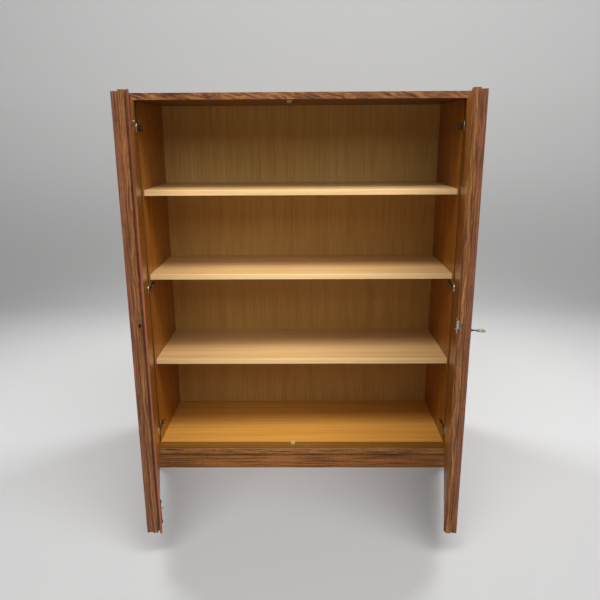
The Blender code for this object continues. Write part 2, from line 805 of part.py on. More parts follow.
def arm_outline(side):
    """A goose-necked arm from above: round the pin, across the cup, then back along the side."""
    half = ARM_THICK / 2
    leg_u = INNER_X - ARM_X + half
    pivot_u = INNER_X - PIVOT_X
    meet = math.asin(half / KNUCKLE_RADIUS)
    bend = (leg_u - ARM_BEND, PIVOT_Y + ARM_BEND)
    knuckle = arc((pivot_u, PIVOT_Y), KNUCKLE_RADIUS, meet, math.tau - meet, 12)
    outside = arc(bend, ARM_BEND + half, -math.pi / 2, 0, 3)
    inside = arc(bend, ARM_BEND - half, 0, -math.pi / 2, 3)
    end_v = FRONT_Y + ARM_REACH
    plan = knuckle + outside + [(leg_u + half, end_v), (leg_u - half, end_v)] + inside
    return [(side * (INNER_X - u), v) for u, v in plan]


def plate_shape(side, z):
    """A mounting plate with round ends, lying on the side panel."""
    half = HINGE_PLATE_WIDTH / 2
    front = FRONT_Y + HINGE_PLATE_FRONT + half
    rear = FRONT_Y + ARM_REACH + HINGE_PLATE_PAST_ARM - half
    ends = arc((rear, z), half, -math.pi / 2, math.pi / 2, 6)
    ends += arc((front, z), half, math.pi / 2, math.pi * 3 / 2, 6)
    outline = [(side * PLATE_X, y, height) for y, height in ends]
    return prism(outline, (-side * HINGE_PLATE_THICK, 0, 0))


# Surface bolts


def make_bolt(name, end, way, knob_distance, door, panel):
    """A surface bolt and its keeper, measured from the board that it is thrown towards."""
    x = -BOLT_INSET
    plate_y = DOOR_INNER_Y + FIT
    outer_y = plate_y + BOLT_PLATE_THICK
    rod_y = DOOR_INNER_Y + BOLT_ROD_STAND_OFF
    half = BOLT_PLATE_WIDTH / 2
    plate_end = BOLT_TIP_RISE + BOLT_PLATE_LENGTH

    def z_at(distance):
        return end - way * distance

    low, high = (x - half, plate_y, z_at(BOLT_TIP_RISE)), (x + half, outer_y, z_at(plate_end))
    plate = make(name + "_bolt_plate", block(low, high), BRASS, door)
    near = BOLT_TIP_RISE + BOLT_GUIDE_INSET
    far = plate_end - BOLT_GUIDE_INSET - BOLT_GUIDE_LENGTH
    guide_radius = BOLT_ROD_RADIUS + FIT + BOLT_GUIDE_WALL
    root_y = plate_y + BOLT_PLATE_THICK / 2
    crown = arc((x, rod_y), guide_radius, math.pi, 0, 8)
    bow = [(x - guide_radius, root_y), *crown, (x + guide_radius, root_y)]
    guides, screws, bores = bmesh.new(), bmesh.new(), bmesh.new()
    for start in (near, far):
        base = [(px, py, z_at(start)) for px, py in bow]
        add_prism(guides, base, (0, 0, -way * BOLT_GUIDE_LENGTH))
    sideways = half - SCREW_HEAD - FIT
    for shift, share in ((-sideways, 1 / 3), (sideways, 2 / 3)):
        seat = (x + shift, outer_y, z_at(BOLT_TIP_RISE + BOLT_PLATE_LENGTH * share))
        add_screw(screws, seat, (0, -1, 0), SHORT_SCREW)
        add_screw_bore(bores, seat, (0, -1, 0), SHORT_SCREW)
    join(plate, guides, screws)
    rod_bore_end = (x, rod_y, z_at(plate_end + OVERRUN))
    cut(plate, rod((x, rod_y, z_at(0)), rod_bore_end, BOLT_ROD_RADIUS + FIT))
    cut(panel, bores)

    tip, tail = (x, rod_y, z_at(BOLT_TIP_RISE)), (x, rod_y, z_at(plate_end))
    slide = carrier(name + "_bolt_slide", tip, door)
    piece = make(name + "_bolt_rod", rod(tip, tail, BOLT_ROD_RADIUS), BRASS, slide, smooth=True)
    knob_z = z_at(knob_distance)
    ball_y = DOOR_INNER_Y + KNOB_REACH - KNOB_BALL_RADIUS
    stem = rod((x, rod_y, knob_z), (x, ball_y, knob_z), KNOB_STEM_RADIUS, SCREW_SIDES)
    ball = bmesh.new()
    place = Matrix.Translation((x, ball_y, knob_z))
    bmesh.ops.create_icosphere(ball, subdivisions=2, radius=KNOB_BALL_RADIUS, matrix=place)
    join(piece, stem, ball)
    make_keeper(name, end, way)


def make_keeper(name, end, way):
    """An angled keeper on a board. Its tab stands before the rod when the bolt is thrown."""
    x, half = -BOLT_INSET, KEEPER_WIDTH / 2
    face = end - way * FIT
    inner = face - way * KEEPER_THICK
    tip = face - way * KEEPER_TAB
    front_y = KEEPER_BACK_Y - KEEPER_THICK
    foot = block((x - half, front_y - KEEPER_FOOT, face), (x + half, KEEPER_BACK_Y, inner))
    keeper = make(name + "_bolt_keeper", foot, BRASS)
    quarter = math.pi / 2
    corners = arc((x - half + KEEPER_CORNER, 0), KEEPER_CORNER, 2 * quarter, quarter, 3)
    corners += arc((x + half - KEEPER_CORNER, 0), KEEPER_CORNER, quarter, 0, 3)
    rounded = [(px, tip + way * (KEEPER_CORNER - rise)) for px, rise in corners]
    outline = [(x - half, face), *rounded, (x + half, face)]
    tab = prism([(px, front_y, pz) for px, pz in outline], (0, KEEPER_THICK, 0))
    shank_start = (x, KEEPER_SCREW_Y, (face + inner) / 2)
    shank_end = (x, KEEPER_SCREW_Y, end + way * SHORT_SCREW)
    join(keeper, tab, rod(shank_start, shank_end, SCREW_RADIUS, SCREW_SIDES))


def add_keeper_bore(shape, board, way):
    """The bore of a keeper's screw in the board that the keeper lies on."""
    add_screw_bore(shape, (-BOLT_INSET, KEEPER_SCREW_Y, board), (0, 0, way), SHORT_SCREW)


# Lock


def make_lock(door, panel, front):
    """A case let into the right door with its cover plate, bolt, cam and key."""
    half_thick, half_high = LOCK_BOLT_THICK / 2, LOCK_BOLT_HEIGHT / 2
    wall = LOCK_CASE_WALL
    bolt_low = (LOCK_BOLT_Y - half_thick - FIT, LOCK_BOLT_Z - half_high - FIT)
    bolt_high = (LOCK_BOLT_Y + half_thick + FIT, LOCK_BOLT_Z + half_high + FIT)
    turned_z = FLOOR_Z + LOCK_TURNED_EDGE_RISE

    pocket = block(
        (LOCK_CASE_X - FIT, LOCK_CASE_Y - FIT, LOCK_CASE_LOW_Z - FIT),
        (LOCK_CASE_END_X + FIT, DOOR_INNER_Y + OVERRUN, LOCK_CASE_HIGH_Z + FIT),
    )
    channel = block((FREE_EDGE_X - OVERRUN, *bolt_low), (LOCK_CASE_X + OVERRUN, *bolt_high))
    notch = block(
        (LOCK_SHOULDER_X - OVERRUN, DOOR_INNER_Y - EDGE_REBATE_DEPTH - FIT, turned_z - FIT),
        (LOCK_CASE_X, DOOR_INNER_Y + OVERRUN, LOCK_CASE_HIGH_Z + FIT),
    )
    in_case, in_seam = (KEY_X, LOCK_CASE_Y + OVERRUN, KEY_Z), (KEY_X, DOOR_MIDDLE_Y - OVERRUN, KEY_Z)
    cut(panel, pocket, channel, notch, rod(in_case, in_seam, BUSH_RADIUS + FIT))
    above_seam, outside = (KEY_X, DOOR_MIDDLE_Y + OVERRUN, KEY_Z), (KEY_X, DOOR_OUTER_Y - OVERRUN, KEY_Z)
    cut(front, rod(above_seam, outside, BUSH_RADIUS + FIT))

    shell = block(
        (LOCK_CASE_X, LOCK_CASE_Y, LOCK_CASE_LOW_Z),
        (LOCK_CASE_END_X, DOOR_INNER_Y, LOCK_CASE_HIGH_Z),
    )
    case = make("lock_case", shell, STEEL, door)
    hollow = block(
        (LOCK_CASE_X + wall, LOCK_CASE_Y + wall, LOCK_CASE_LOW_Z + wall),
        (LOCK_CASE_END_X - wall, DOOR_INNER_Y + OVERRUN, LOCK_CASE_HIGH_Z - wall),
    )
    mouth = block((LOCK_CASE_X - OVERRUN, *bolt_low), (LOCK_CASE_X + wall + OVERRUN, *bolt_high))
    behind, within = (KEY_X, LOCK_CASE_Y - OVERRUN, KEY_Z), (KEY_X, LOCK_CASE_Y + wall + OVERRUN, KEY_Z)
    cut(case, hollow, mouth, rod(behind, within, KEY_SHANK_RADIUS + FIT))

    make_lock_plate(door, panel, turned_z)
    make_lock_bolt(door, half_thick, half_high)
    make_key(door)
    make_bush(door)


def make_lock_plate(door, panel, turned_z):
    """The plate over the case, with its edge turned into the door's rebate."""
    plate_y = DOOR_INNER_Y + FIT
    outer_y = plate_y + LOCK_PLATE_THICK
    screw_x = LOCK_CASE_END_X + LOCK_PLATE_MARGIN
    low = (LOCK_SHOULDER_X, plate_y, LOCK_CASE_LOW_Z)
    high = (screw_x + LOCK_PLATE_MARGIN, outer_y, LOCK_CASE_HIGH_Z)
    plate = make("lock_plate", block(low, high), BRIGHT_STEEL, door)
    turned = block(
        (LOCK_SHOULDER_X, DOOR_INNER_Y - EDGE_REBATE_DEPTH, turned_z),
        (LOCK_SHOULDER_X + LOCK_PLATE_THICK, outer_y, LOCK_CASE_HIGH_Z),
    )
    screws, bores = bmesh.new(), bmesh.new()
    for z in (LOCK_CASE_LOW_Z + LOCK_PLATE_MARGIN, LOCK_CASE_HIGH_Z - LOCK_PLATE_MARGIN):
        add_screw(screws, (screw_x, outer_y, z), (0, -1, 0), SHORT_SCREW)
        add_screw_bore(bores, (screw_x, outer_y, z), (0, -1, 0), SHORT_SCREW)
    join(plate, turned, screws)
    below, above = (KEY_X, plate_y - OVERRUN, KEY_Z), (KEY_X, outer_y + OVERRUN, KEY_Z)
    cut(plate, rod(below, above, SPINDLE_RADIUS + FIT))
    cut(panel, bores)


def make_lock_bolt(door, half_thick, half_high):
    """The sliding bolt. Its tail hangs down on both sides of the cam's finger."""
    start = FREE_EDGE_X + LOCK_BOLT_RECESS
    talon = KEY_X + LOCK_BOLT_THROW / 2
    inner, outer = LOCK_TALON_HALF, LOCK_TALON_HALF + LOCK_TAIL_WALL
    top, bottom, low = LOCK_BOLT_Z + half_high, LOCK_BOLT_Z - half_high, LOCK_BOLT_Z - LOCK_TAIL_DROP
    outline = [
        (start, top),
        (start, bottom),
        (talon - outer, bottom),
        (talon - outer, low),
        (talon - inner, low),
        (talon - inner, bottom),
        (talon + inner, bottom),
        (talon + inner, low),
        (talon + outer, low),
        (talon + outer, top),
    ]
    slide = carrier("lock_bolt_slide", (start, LOCK_BOLT_Y, LOCK_BOLT_Z), door)
    base = [(x, LOCK_BOLT_Y - half_thick, z) for x, z in outline]
    make("lock_bolt", prism(base, (0, LOCK_BOLT_THICK, 0)), BRIGHT_STEEL, slide)


def make_key(door):
    """The key, and the cam on its spindle that it turns, about one axis through the door."""
    turn = carrier("key_turn", (KEY_X, LOCK_BOLT_Y, KEY_Z), door)
    spindle_start = LOCK_CASE_Y + LOCK_CASE_WALL + FIT
    spindle_end = DOOR_INNER_Y + LOCK_PLATE_THICK + SPINDLE_PAST
    spindle = rod((KEY_X, spindle_start, KEY_Z), (KEY_X, spindle_end, KEY_Z), SPINDLE_RADIUS)
    cam = make("lock_cam", spindle, STEEL, turn, smooth=True)
    half, thick = CAM_FINGER_HALF, CAM_THICK / 2
    finger = block((-half, LOCK_BOLT_Y - thick, 0), (half, LOCK_BOLT_Y + thick, CAM_FINGER))
    lean = Matrix.Translation((KEY_X, 0, KEY_Z)) @ Matrix.Rotation(CAM_LEAN, 4, "Y")
    bmesh.ops.transform(finger, matrix=lean, verts=finger.verts)
    join(cam, finger)
    socket_end = spindle_start + KEY_SOCKET_DEPTH
    below = (KEY_X, spindle_start - OVERRUN, KEY_Z)
    cut(cam, rod(below, (KEY_X, socket_end, KEY_Z), KEY_SHANK_RADIUS + FIT))

    half_width, half_length = KEY_BOW_WIDTH / 2, KEY_BOW_LENGTH / 2
    bow_y = DOOR_OUTER_Y - KEY_STANDS_OUT + half_length
    shank_end = (KEY_X, bow_y + half_length - KEY_BOW_RING / 2, KEY_Z)
    shank = rod((KEY_X, socket_end - FIT, KEY_Z), shank_end, KEY_SHANK_RADIUS)
    key = make("key", shank, BRASS, turn, smooth=True)
    collar_y = DOOR_OUTER_Y - FIT - BUSH_RIM_THICK - FIT
    collar_end = (KEY_X, collar_y - KEY_COLLAR_LENGTH, KEY_Z)
    collar = rod((KEY_X, collar_y, KEY_Z), collar_end, KEY_COLLAR_RADIUS)
    underside = KEY_Z - KEY_BOW_THICK / 2
    outer = oval((KEY_X, bow_y), half_width, half_length, underside, BOW_SIDES)
    join(key, collar, prism(outer, (0, 0, KEY_BOW_THICK)))
    ring = KEY_BOW_RING
    inner = oval((KEY_X, bow_y), half_width - ring, half_length - ring, underside - OVERRUN, BOW_SIDES)
    cut(key, prism(inner, (0, 0, KEY_BOW_THICK + 2 * OVERRUN)))


def make_bush(door):
    """The keyhole's lining, with a rim on the door's face."""
    inner = BUSH_RADIUS - BUSH_WALL
    tube = DOOR_FRONT + BUSH_IN_PANEL
    outline = [
        (BUSH_RADIUS, 0),
        (BUSH_RADIUS, tube),
        (inner, tube),
        (inner, -BUSH_RIM_THICK),
        (BUSH_RIM_RADIUS, -BUSH_RIM_THICK),
        (BUSH_RIM_RADIUS, 0),
    ]
    shape = bmesh.new()
    start = (KEY_X, DOOR_OUTER_Y - FIT, KEY_Z)
    add_turned(shape, outline, start, (0, 1, 0), ROUND_SIDES, closed=True)
    make("keyhole_bush", shape, BRASS, door, smooth=True)


def make_strike(door, panel):
    """The plate in the left door's edge that the lock's bolt enters."""
    free = -FREE_EDGE_X
    half_high, half_wide = STRIKE_HEIGHT / 2, STRIKE_WIDTH / 2
    slot_wide = LOCK_BOLT_THICK / 2 + STRIKE_MARGIN
    slot_high = LOCK_BOLT_HEIGHT / 2 + STRIKE_MARGIN

    def upright(start, end, wide, high):
        low = (start, LOCK_BOLT_Y - wide, LOCK_BOLT_Z - high)
        return block(low, (end, LOCK_BOLT_Y + wide, LOCK_BOLT_Z + high))

    outside = free + OVERRUN
    recess = upright(outside, free - STRIKE_THICK - FIT, half_wide + FIT, half_high + FIT)
    pocket = upright(outside, free - STRIKE_POCKET, slot_wide, slot_high)
    cut(panel, recess, pocket)
    strike = make("lock_strike", upright(free, free - STRIKE_THICK, half_wide, half_high), BRASS, door)
    screws, bores = bmesh.new(), bmesh.new()
    for way in (-1, 1):
        place = (LOCK_BOLT_Y, LOCK_BOLT_Z + way * (half_high - STRIKE_SCREW_INSET))
        shank_start, shank_end = (free - STRIKE_THICK / 2, *place), (free - SHORT_SCREW, *place)
        add_rod(screws, shank_start, shank_end, SCREW_RADIUS, SCREW_SIDES)
        add_screw_bore(bores, (free, *place), (-1, 0, 0), SHORT_SCREW)
    join(strike, screws)
    cut(strike, upright(outside, free - STRIKE_THICK - OVERRUN, slot_wide, slot_high))
    cut(panel, bores)


def main():
    clear_scene()
    make_top()
    make_bottom()
    make_sides()
    make_back()
    make_plinth()
    make_shelves()
    make_doors()


main()
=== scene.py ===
import math

import bpy
from bpy.props import FloatProperty, FloatVectorProperty, PointerProperty
from mathutils import Matrix, Vector


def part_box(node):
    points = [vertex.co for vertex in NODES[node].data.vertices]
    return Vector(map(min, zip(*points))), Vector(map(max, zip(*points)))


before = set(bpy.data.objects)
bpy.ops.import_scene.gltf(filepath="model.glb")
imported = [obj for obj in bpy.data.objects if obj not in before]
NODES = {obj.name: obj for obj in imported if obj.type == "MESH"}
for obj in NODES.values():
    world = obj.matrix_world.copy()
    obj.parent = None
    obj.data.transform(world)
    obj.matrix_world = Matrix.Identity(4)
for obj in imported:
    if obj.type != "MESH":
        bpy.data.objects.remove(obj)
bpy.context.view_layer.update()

bl_info = {
    "name": "Highboard looks",
    "version": (1, 0, 0),
    "blender": (4, 5, 0),
    "location": "View3D > Sidebar > Highboard",
    "description": "Veneers, plating and a plain stage for a highboard with open doors",
    "category": "Object",
}

# Where each door turns, as x and y of its pin in metres, and how many degrees it stands open
HINGED = {"left": (-0.5475, -0.203, -76.7), "right": (0.5475, -0.203, 77.3)}

# A face looks along an axis that has more than this share of its direction
FACING = 0.5

# Faces and edges of the carcass that the masks follow, in metres
SIDE_BOARD = 0.019
INNER_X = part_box("right_side")[1].x - SIDE_BOARD
SIDE_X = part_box("right_side")[1].x
SIDE_SKIN = 0.002
SHELF_PINS_X = INNER_X - 0.0002
SIDE_LOW, SIDE_HIGH = 0.083, 1.318
FRONT_EDGE = -0.190
BACK_FACE = 0.1805
BACK_SCREW_HEADS_Y = BACK_FACE + 0.0001
BACK_SCREW_POINTS_Y = BACK_FACE - 0.0065

# The strip in front of the bottom panel: its worn front corner and the scratches on top
WORN_Y, WORN_Z = -0.2385, 0.0812
WORN_RATE, WORN_LIMITS, WORN_SHARE = 9, (0.54, 0.64), 0.4
SCRATCHED_X = (0.008, 0.040)
SCRATCHED_Y, SCRATCHED_HALF = -0.2150, 0.010
SCRATCH_RATES, SCRATCH_LIMITS, SCRATCH_SHARE = (420, 35), (0.60, 0.66), 0.55

# The plinth: what lies inside its side rails, and where only screws are
RAIL_SKIN = 0.001
BLOCK_SCREWS_X, BLOCK_SCREWS_Z = 0.5305, 0.03065
RAIL_SCREWS_Z = 0.0608

# Faces of the doors as they lie when shut, and the places where shade is painted on as a darker colour
DOOR_INNER = -0.193
DOOR_SEAM = -0.213
DOOR_OUTER = -0.229
DOOR_SKIN = 0.0005
CUP_BORES_X = (0.51, 0.5535)
CUP_BORES_Y = (DOOR_SEAM + 0.0004, DOOR_INNER - 0.001)
PAINTED_SHADE_Z, PAINTED_SHADE_SHARE = (0.7, 1.25), 0.6
STRIP_SHADE_Z, STRIP_SHADE_SHARE = (1.02, 1.10), 0.9
STRIP_ROOT_SHADE_Y, STRIP_ROOT_SHADE_SHARE = DOOR_INNER + 0.0022, 0.8

# Fittings
ARM_FACE = 0.5314
ARM_HEADS_X = ARM_FACE - 0.00005
ARM_SCREW_INSETS = (0.026, 0.054)
HINGE_LEVELS = (0.141, 0.689, 1.233)
SLOT_HALF_WIDTH, SLOT_HALF_LENGTH = 0.00035, 0.0024
KNOB_Y = DOOR_INNER + 0.0077
# The key's shank is drawn dark next to the door, by its place along the key
KEY_SHANK_Y = (DOOR_OUTER - 0.0175, DOOR_OUTER - 0.0155)

# Roughness of the woods that have their own, and how much smoother than the outer veneer the others are
SHELF_GLOSS = 0.42
BACK_GLOSS = 0.5
PLINTH_GLOSS = 0.5
STRIP_GLOSS = 0.38
STRIP_SHADE_GLOSS = 0.4
RAW_GLOSS = 0.75
BOTTOM_SHEEN, SIDE_SHEEN, DOOR_SHEEN = 0.08, 0.06, 0.1

# The lacquer's weight on the top and on the other boards
TOP_COAT, COAT = 0.15, 0.2
COAT_ROUGHNESS = 0.18
SPECULAR_LEVEL = 0.3

# Depth of the relief in metres
WOOD_RELIEF, METAL_RELIEF, PLATED_RELIEF = 0.00015, 0.00006, 0.00005
RELIEF_STRENGTH = 0.6

# Veneers: where the three tones stand in the figure, the rates of fine lines and pores per metre along
# and across the grain, and the values of noise between which pores and veins set in
TONE_STOPS = (0.22, 0.5, 0.82)
FINE_RATE, FINE_SHARE, FINE_HEIGHT = 5, 0.8, 0.4
PORE_RATES, PORE_LIMITS, PORE_TONE = (55, 1700), (0.56, 0.68), 0.35
VEIN_COUNT, VEIN_LIMITS, VEIN_BREAKS = 9, (0.02, 0.16), (0.3, 0.6)
VEIN_TONE, VEIN_SHARE = 0.5, 0.3
TONE_GLOSS = 0.12

# Metals: dull smudges and the marks of brushing, with rates per metre
SMUDGE_RATE, SMUDGE_LIMITS = 190, (0.42, 0.72)
SMUDGE_LEVEL, SMUDGE_GLOSS = 0.4, 0.3
BRUSH_RATE, BRUSH_RISE = 2600, 500
BRUSH_GLOSS, BRUSH_HEIGHT = 0.12, 0.25

# Roughness, height and metallic value of the finishes that have one colour
BARE_FINISH = (0.6, 0.0, 0.0)
SLOT_FINISH = (0.7, -4.0, 0.6)
SHANK_FINISH = (0.45, 0.0, 0.9)

# Each metal's roughness, metallic value and seed. Its two colours are the properties that have its name
PLATINGS = {
    "steel": (0.34, 1.0, 0),
    "bright": (0.30, 0.75, 0),
    "screw": (0.30, 0.4, 0),
    "brass": (0.28, 0.7, 5),
    "bronze": (0.45, 0.35, 0),
    "browned": (0.45, 0.3, 2),
    "key": (0.26, 0.8, 3),
}

# How the figure runs in woods that share it
INNER_FIGURE = {"bands": 45, "sway": 0.020, "sway_rate": 1.5, "pores": 0.20, "contrast": 0.9}
STRIP_FIGURE = {"bands": 150, "sway": 0.01, "sway_rate": 1.5, "pores": 0.3, "contrast": 1.0, "run": 3.0}

# Each wood's dark, middle and light tone, as names of properties, and how its figure runs
VENEERS = {
    "outer": (
        ("outer_dark", "outer_mid", "outer_light"),
        {"bands": 120, "sway": 0.030, "sway_rate": 4.0, "pores": 0.55, "contrast": 1.7},
    ),
    "inner": (("inner_dark", "inner_mid", "inner_light"), INNER_FIGURE),
    # Painted shade: a darker copy of the inner veneer for the top's underside, the sides' front edges
    # and the doors' upper inner faces
    "painted_shade": (("outer_dark", "painted_shade_mid", "painted_shade_light"), INNER_FIGURE),
    "shelf": (
        ("shelf_dark", "shelf_mid", "shelf_light"),
        {"bands": 60, "sway": 0.012, "sway_rate": 1.2, "pores": 0.10, "contrast": 0.8},
    ),
    "lipping": (
        ("shelf_mid", "lipping_mid", "lipping_light"),
        {"bands": 90, "sway": 0.010, "sway_rate": 1.5, "pores": 0.05, "contrast": 0.8},
    ),
    "back": (
        ("back_dark", "back_mid", "back_light"),
        {"bands": 26, "sway": 0.008, "sway_rate": 0.9, "pores": 0.15, "contrast": 0.35, "lines": 420},
    ),
    "bottom": (
        ("bottom_dark", "bottom_mid", "bottom_light"),
        {"bands": 50, "sway": 0.015, "sway_rate": 1.4, "pores": 0.12, "contrast": 0.9},
    ),
    "ledge": (
        ("ledge_dark", "ledge_mid", "ledge_light"),
        {"bands": 70, "sway": 0.012, "sway_rate": 2.0, "pores": 0.4, "contrast": 1.2},
    ),
    "ledge_front": (
        ("ledge_front_dark", "ledge_front_mid", "ledge_front_light"),
        {
            "bands": 160, "sway": 0.016, "sway_rate": 14.0, "pores": 0.5, "contrast": 1.4,
            "run": 9.0, "veins": 0.8,
        },
    ),
    "top_edge": (
        ("outer_dark", "top_edge_mid", "top_edge_light"),
        {
            "bands": 150, "sway": 0.022, "sway_rate": 20.0, "pores": 0.5, "contrast": 1.8,
            "run": 22.0, "veins": 0.8,
        },
    ),
    "plinth": (
        ("outer_dark", "plinth_mid", "plinth_light"),
        {
            "bands": 150, "sway": 0.008, "sway_rate": 7.0, "pores": 0.5, "contrast": 1.4,
            "run": 5.0, "veins": 0.4,
        },
    ),
    "board_edge": (
        ("outer_dark", "board_edge_mid", "board_edge_light"),
        {
            "bands": 260, "sway": 0.010, "sway_rate": 14.0, "pores": 0.5, "contrast": 1.3,
            "run": 9.0, "veins": 0.35,
        },
    ),
    "panel_edge": (
        ("outer_dark", "panel_edge_mid", "panel_edge_light"),
        {
            "bands": 190, "sway": 0.014, "sway_rate": 13.0, "pores": 0.5, "contrast": 1.5,
            "run": 8.0, "veins": 0.5,
        },
    ),
}

# Woods whose three tones are shares of one property's colour
TINTED_WOODS = {
    "raw": (
        "raw", (0.6, 1.0, 1.2),
        {"bands": 70, "sway": 0.02, "sway_rate": 2.0, "pores": 0.3, "contrast": 1.0},
    ),
    "strip": ("strip", (0.5, 0.85, 1.2), STRIP_FIGURE),
    # Painted shade: a darker copy of the closing strip's wood
    "strip_painted_shade": ("strip", (0.2, 0.4, 0.6), STRIP_FIGURE),
}

# The stage, in metres and degrees: each lamp's size and place, and the point that all of them face
CEILING_LAMP = ((7.0, 2.1), (0.6, -3.3, 6.7))
FRONT_LAMP = ((3.2, 2.2), (0.6, -3.4, 3.2))
REAR_LAMP_SIZE, REAR_LAMP_PLACE, REAR_LAMP_SPREAD = (1.8, 1.8), (2.6, 2.2, 2.9), 80
FACED_POINT = (0, -0.1, 0.65)

# How much brighter the surround is where it is seen, mirrored or looked through
SURROUND_SEEN, SURROUND_MIRRORED, SURROUND_THROUGH = 0.6, 0.15, 0.3

# The ground's tones: seen on the floor, seen on the wall, and for the light that it throws back
FLOOR_TONE, WALL_TONE, LIT_TONE = 0.38, 0.62, 0.33
WALL_RISE = (0.1, 1.7)
PAPER_ROUGHNESS = 0.9


def hex_colour(code):
    """A linear colour from six sRGB hex digits."""
    parts = [int(code[i:i + 2], 16) / 255 for i in (0, 2, 4)]
    return tuple(p / 12.92 if p <= 0.04045 else ((p + 0.055) / 1.055) ** 2.4 for p in parts)


def scaled(colour, share):
    """A colour with each part multiplied, and none over 1."""
    return tuple(min(1, share * part) for part in colour)


class Link:
    """A socket of a material, on which Python's operators add Math nodes."""

    def __init__(self, sheet, socket):
        self.sheet = sheet
        self.socket = socket

    def maths(self, operation, *values):
        """Adds one Math node with these values."""
        return self.sheet.node("ShaderNodeMath", {"operation": operation}, dict(enumerate(values)))

    def within(self, low, high):
        """1 between two values, and 0 elsewhere."""
        return (self > low) * (self < high)

    def __add__(self, other):
        return self.maths("ADD", self, other)

    def __sub__(self, other):
        return self.maths("SUBTRACT", self, other)

    def __rsub__(self, other):
        return self.maths("SUBTRACT", other, self)

    def __mul__(self, other):
        return self.maths("MULTIPLY", self, other)

    def __gt__(self, other):
        return self.maths("GREATER_THAN", self, other)

    def __lt__(self, other):
        return self.maths("LESS_THAN", self, other)

    def __abs__(self):
        return self.maths("ABSOLUTE", self)

    __radd__ = __add__
    __rmul__ = __mul__


class Finish:
    """One material, or the world's light, whose nodes are added by calls."""

    def __init__(self, name, world=False):
        self.owner = (bpy.data.worlds if world else bpy.data.materials).new(name)
        self.owner.use_nodes = True
        self.tree = self.owner.node_tree
        self.shader = self.tree.nodes["Background" if world else "Principled BSDF"]

    def node(self, kind, settings=None, inputs=None, output=0):
        """Adds a node whose inputs are values or links, and returns one of its outputs as a link."""
        made = self.tree.nodes.new(kind)
        settings = dict(settings or {})
        stops = settings.pop("stops", None)
        for name, value in settings.items():
            setattr(made, name, value)
        if stops:
            elements = made.color_ramp.elements
            while len(elements) < len(stops):
                elements.new(1)
            for element, (position, colour) in zip(elements, stops):
                element.position = position
                element.color = (*colour, 1)
        for key, value in (inputs or {}).items():
            if isinstance(value, Link):
                self.tree.links.new(value.socket, made.inputs[key])
            elif isinstance(value, tuple) and made.inputs[key].type == "RGBA":
                made.inputs[key].default_value = (*value, 1)
            else:
                made.inputs[key].default_value = value
        return Link(self, made.outputs[output])

    def set(self, **values):
        """Fills the shader's sockets, named with underscores for spaces."""
        for name, value in values.items():
            socket = self.shader.inputs[name.replace("_", " ")]
            if isinstance(value, Link):
                self.tree.links.new(value.socket, socket)
            else:
                socket.default_value = (*value, 1) if isinstance(value, tuple) else value

    def combine(self, x, y, z):
        """A vector from its parts."""
        return self.node("ShaderNodeCombineXYZ", inputs={"X": x, "Y": y, "Z": z})

    def separate(self, vector):
        """A vector's x, y and z."""
        inputs = {"Vector": vector}
        return [self.node("ShaderNodeSeparateXYZ", inputs=inputs, output=axis) for axis in range(3)]

    def shut(self, vector, door, centre):
        """A vector turned back to where it is with the door shut."""
        settings = {"rotation_type": "Z_AXIS"}
        inputs = {"Vector": vector, "Center": centre, "Angle": math.radians(-HINGED[door][2])}
        return self.node("ShaderNodeVectorRotate", settings, inputs)

    def point(self, door=None):
        """Place on the piece in metres, as x, y and z."""
        vector = self.node("ShaderNodeTexCoord", output="Object")
        if door:
            vector = self.shut(vector, door, (*HINGED[door][:2], 0))
        return self.separate(vector)

    def facing(self, door=None):
        """The face's direction on the piece, as x, y and z."""
        vector = self.node("ShaderNodeTexCoord", output="Normal")
        if door:
            vector = self.shut(vector, door, (0, 0, 0))
        return self.separate(vector)

    def noise(self, x, y=0.0, z=0.0, detail=2.0, roughness=0.5):
        """Soft noise with cells one unit wide, from 0 to 1."""
        place = self.combine(x, y, z)
        inputs = {"Vector": place, "Scale": 1.0, "Detail": detail, "Roughness": roughness}
        return self.node("ShaderNodeTexNoise", {"noise_dimensions": "3D"}, inputs)

    def step(self, value, low, high):
        """0 below low, 1 above high, and smooth between them."""
        settings = {"interpolation_type": "SMOOTHSTEP"}
        inputs = {"Value": value, "From Min": low, "From Max": high}
        return self.node("ShaderNodeMapRange", settings, inputs)

    def mix(self, factor, first, second):
        """A colour between two."""
        settings = {"data_type": "RGBA"}
        return self.node("ShaderNodeMix", settings, {0: factor, 6: first, 7: second}, output=2)

    def bump(self, height, strength, distance):
        """A face's direction tilted by a height."""
        inputs = {"Height": height, "Strength": strength, "Distance": distance}
        return self.node("ShaderNodeBump", inputs=inputs)


class Veneer:
    """A wood's three tones and how its figure runs. Lengths are in metres, and rates are per metre."""

    def __init__(
        self, dark, mid, light, bands, sway, sway_rate, pores, contrast,
        lines=900.0, run=0.8, veins=0.0,
    ):
        self.dark = dark
        self.mid = mid
        self.light = light
        self.bands = bands
        self.sway = sway
        self.sway_rate = sway_rate
        self.pores = pores
        self.contrast = contrast
        self.lines = lines
        self.run = run
        self.veins = veins


def veneer(context, name):
    """A wood whose three tones are properties."""
    woods = context.scene.highboard_woods
    tones, figure = VENEERS[name]
    return Veneer(*(tuple(getattr(woods, tone)) for tone in tones), **figure)


def tinted_wood(context, name):
    """A wood whose three tones are shares of one colour."""
    tint, shares, figure = TINTED_WOODS[name]
    ground = getattr(context.scene.highboard_woods, tint)
    return Veneer(*(scaled(ground, share) for share in shares), **figure)


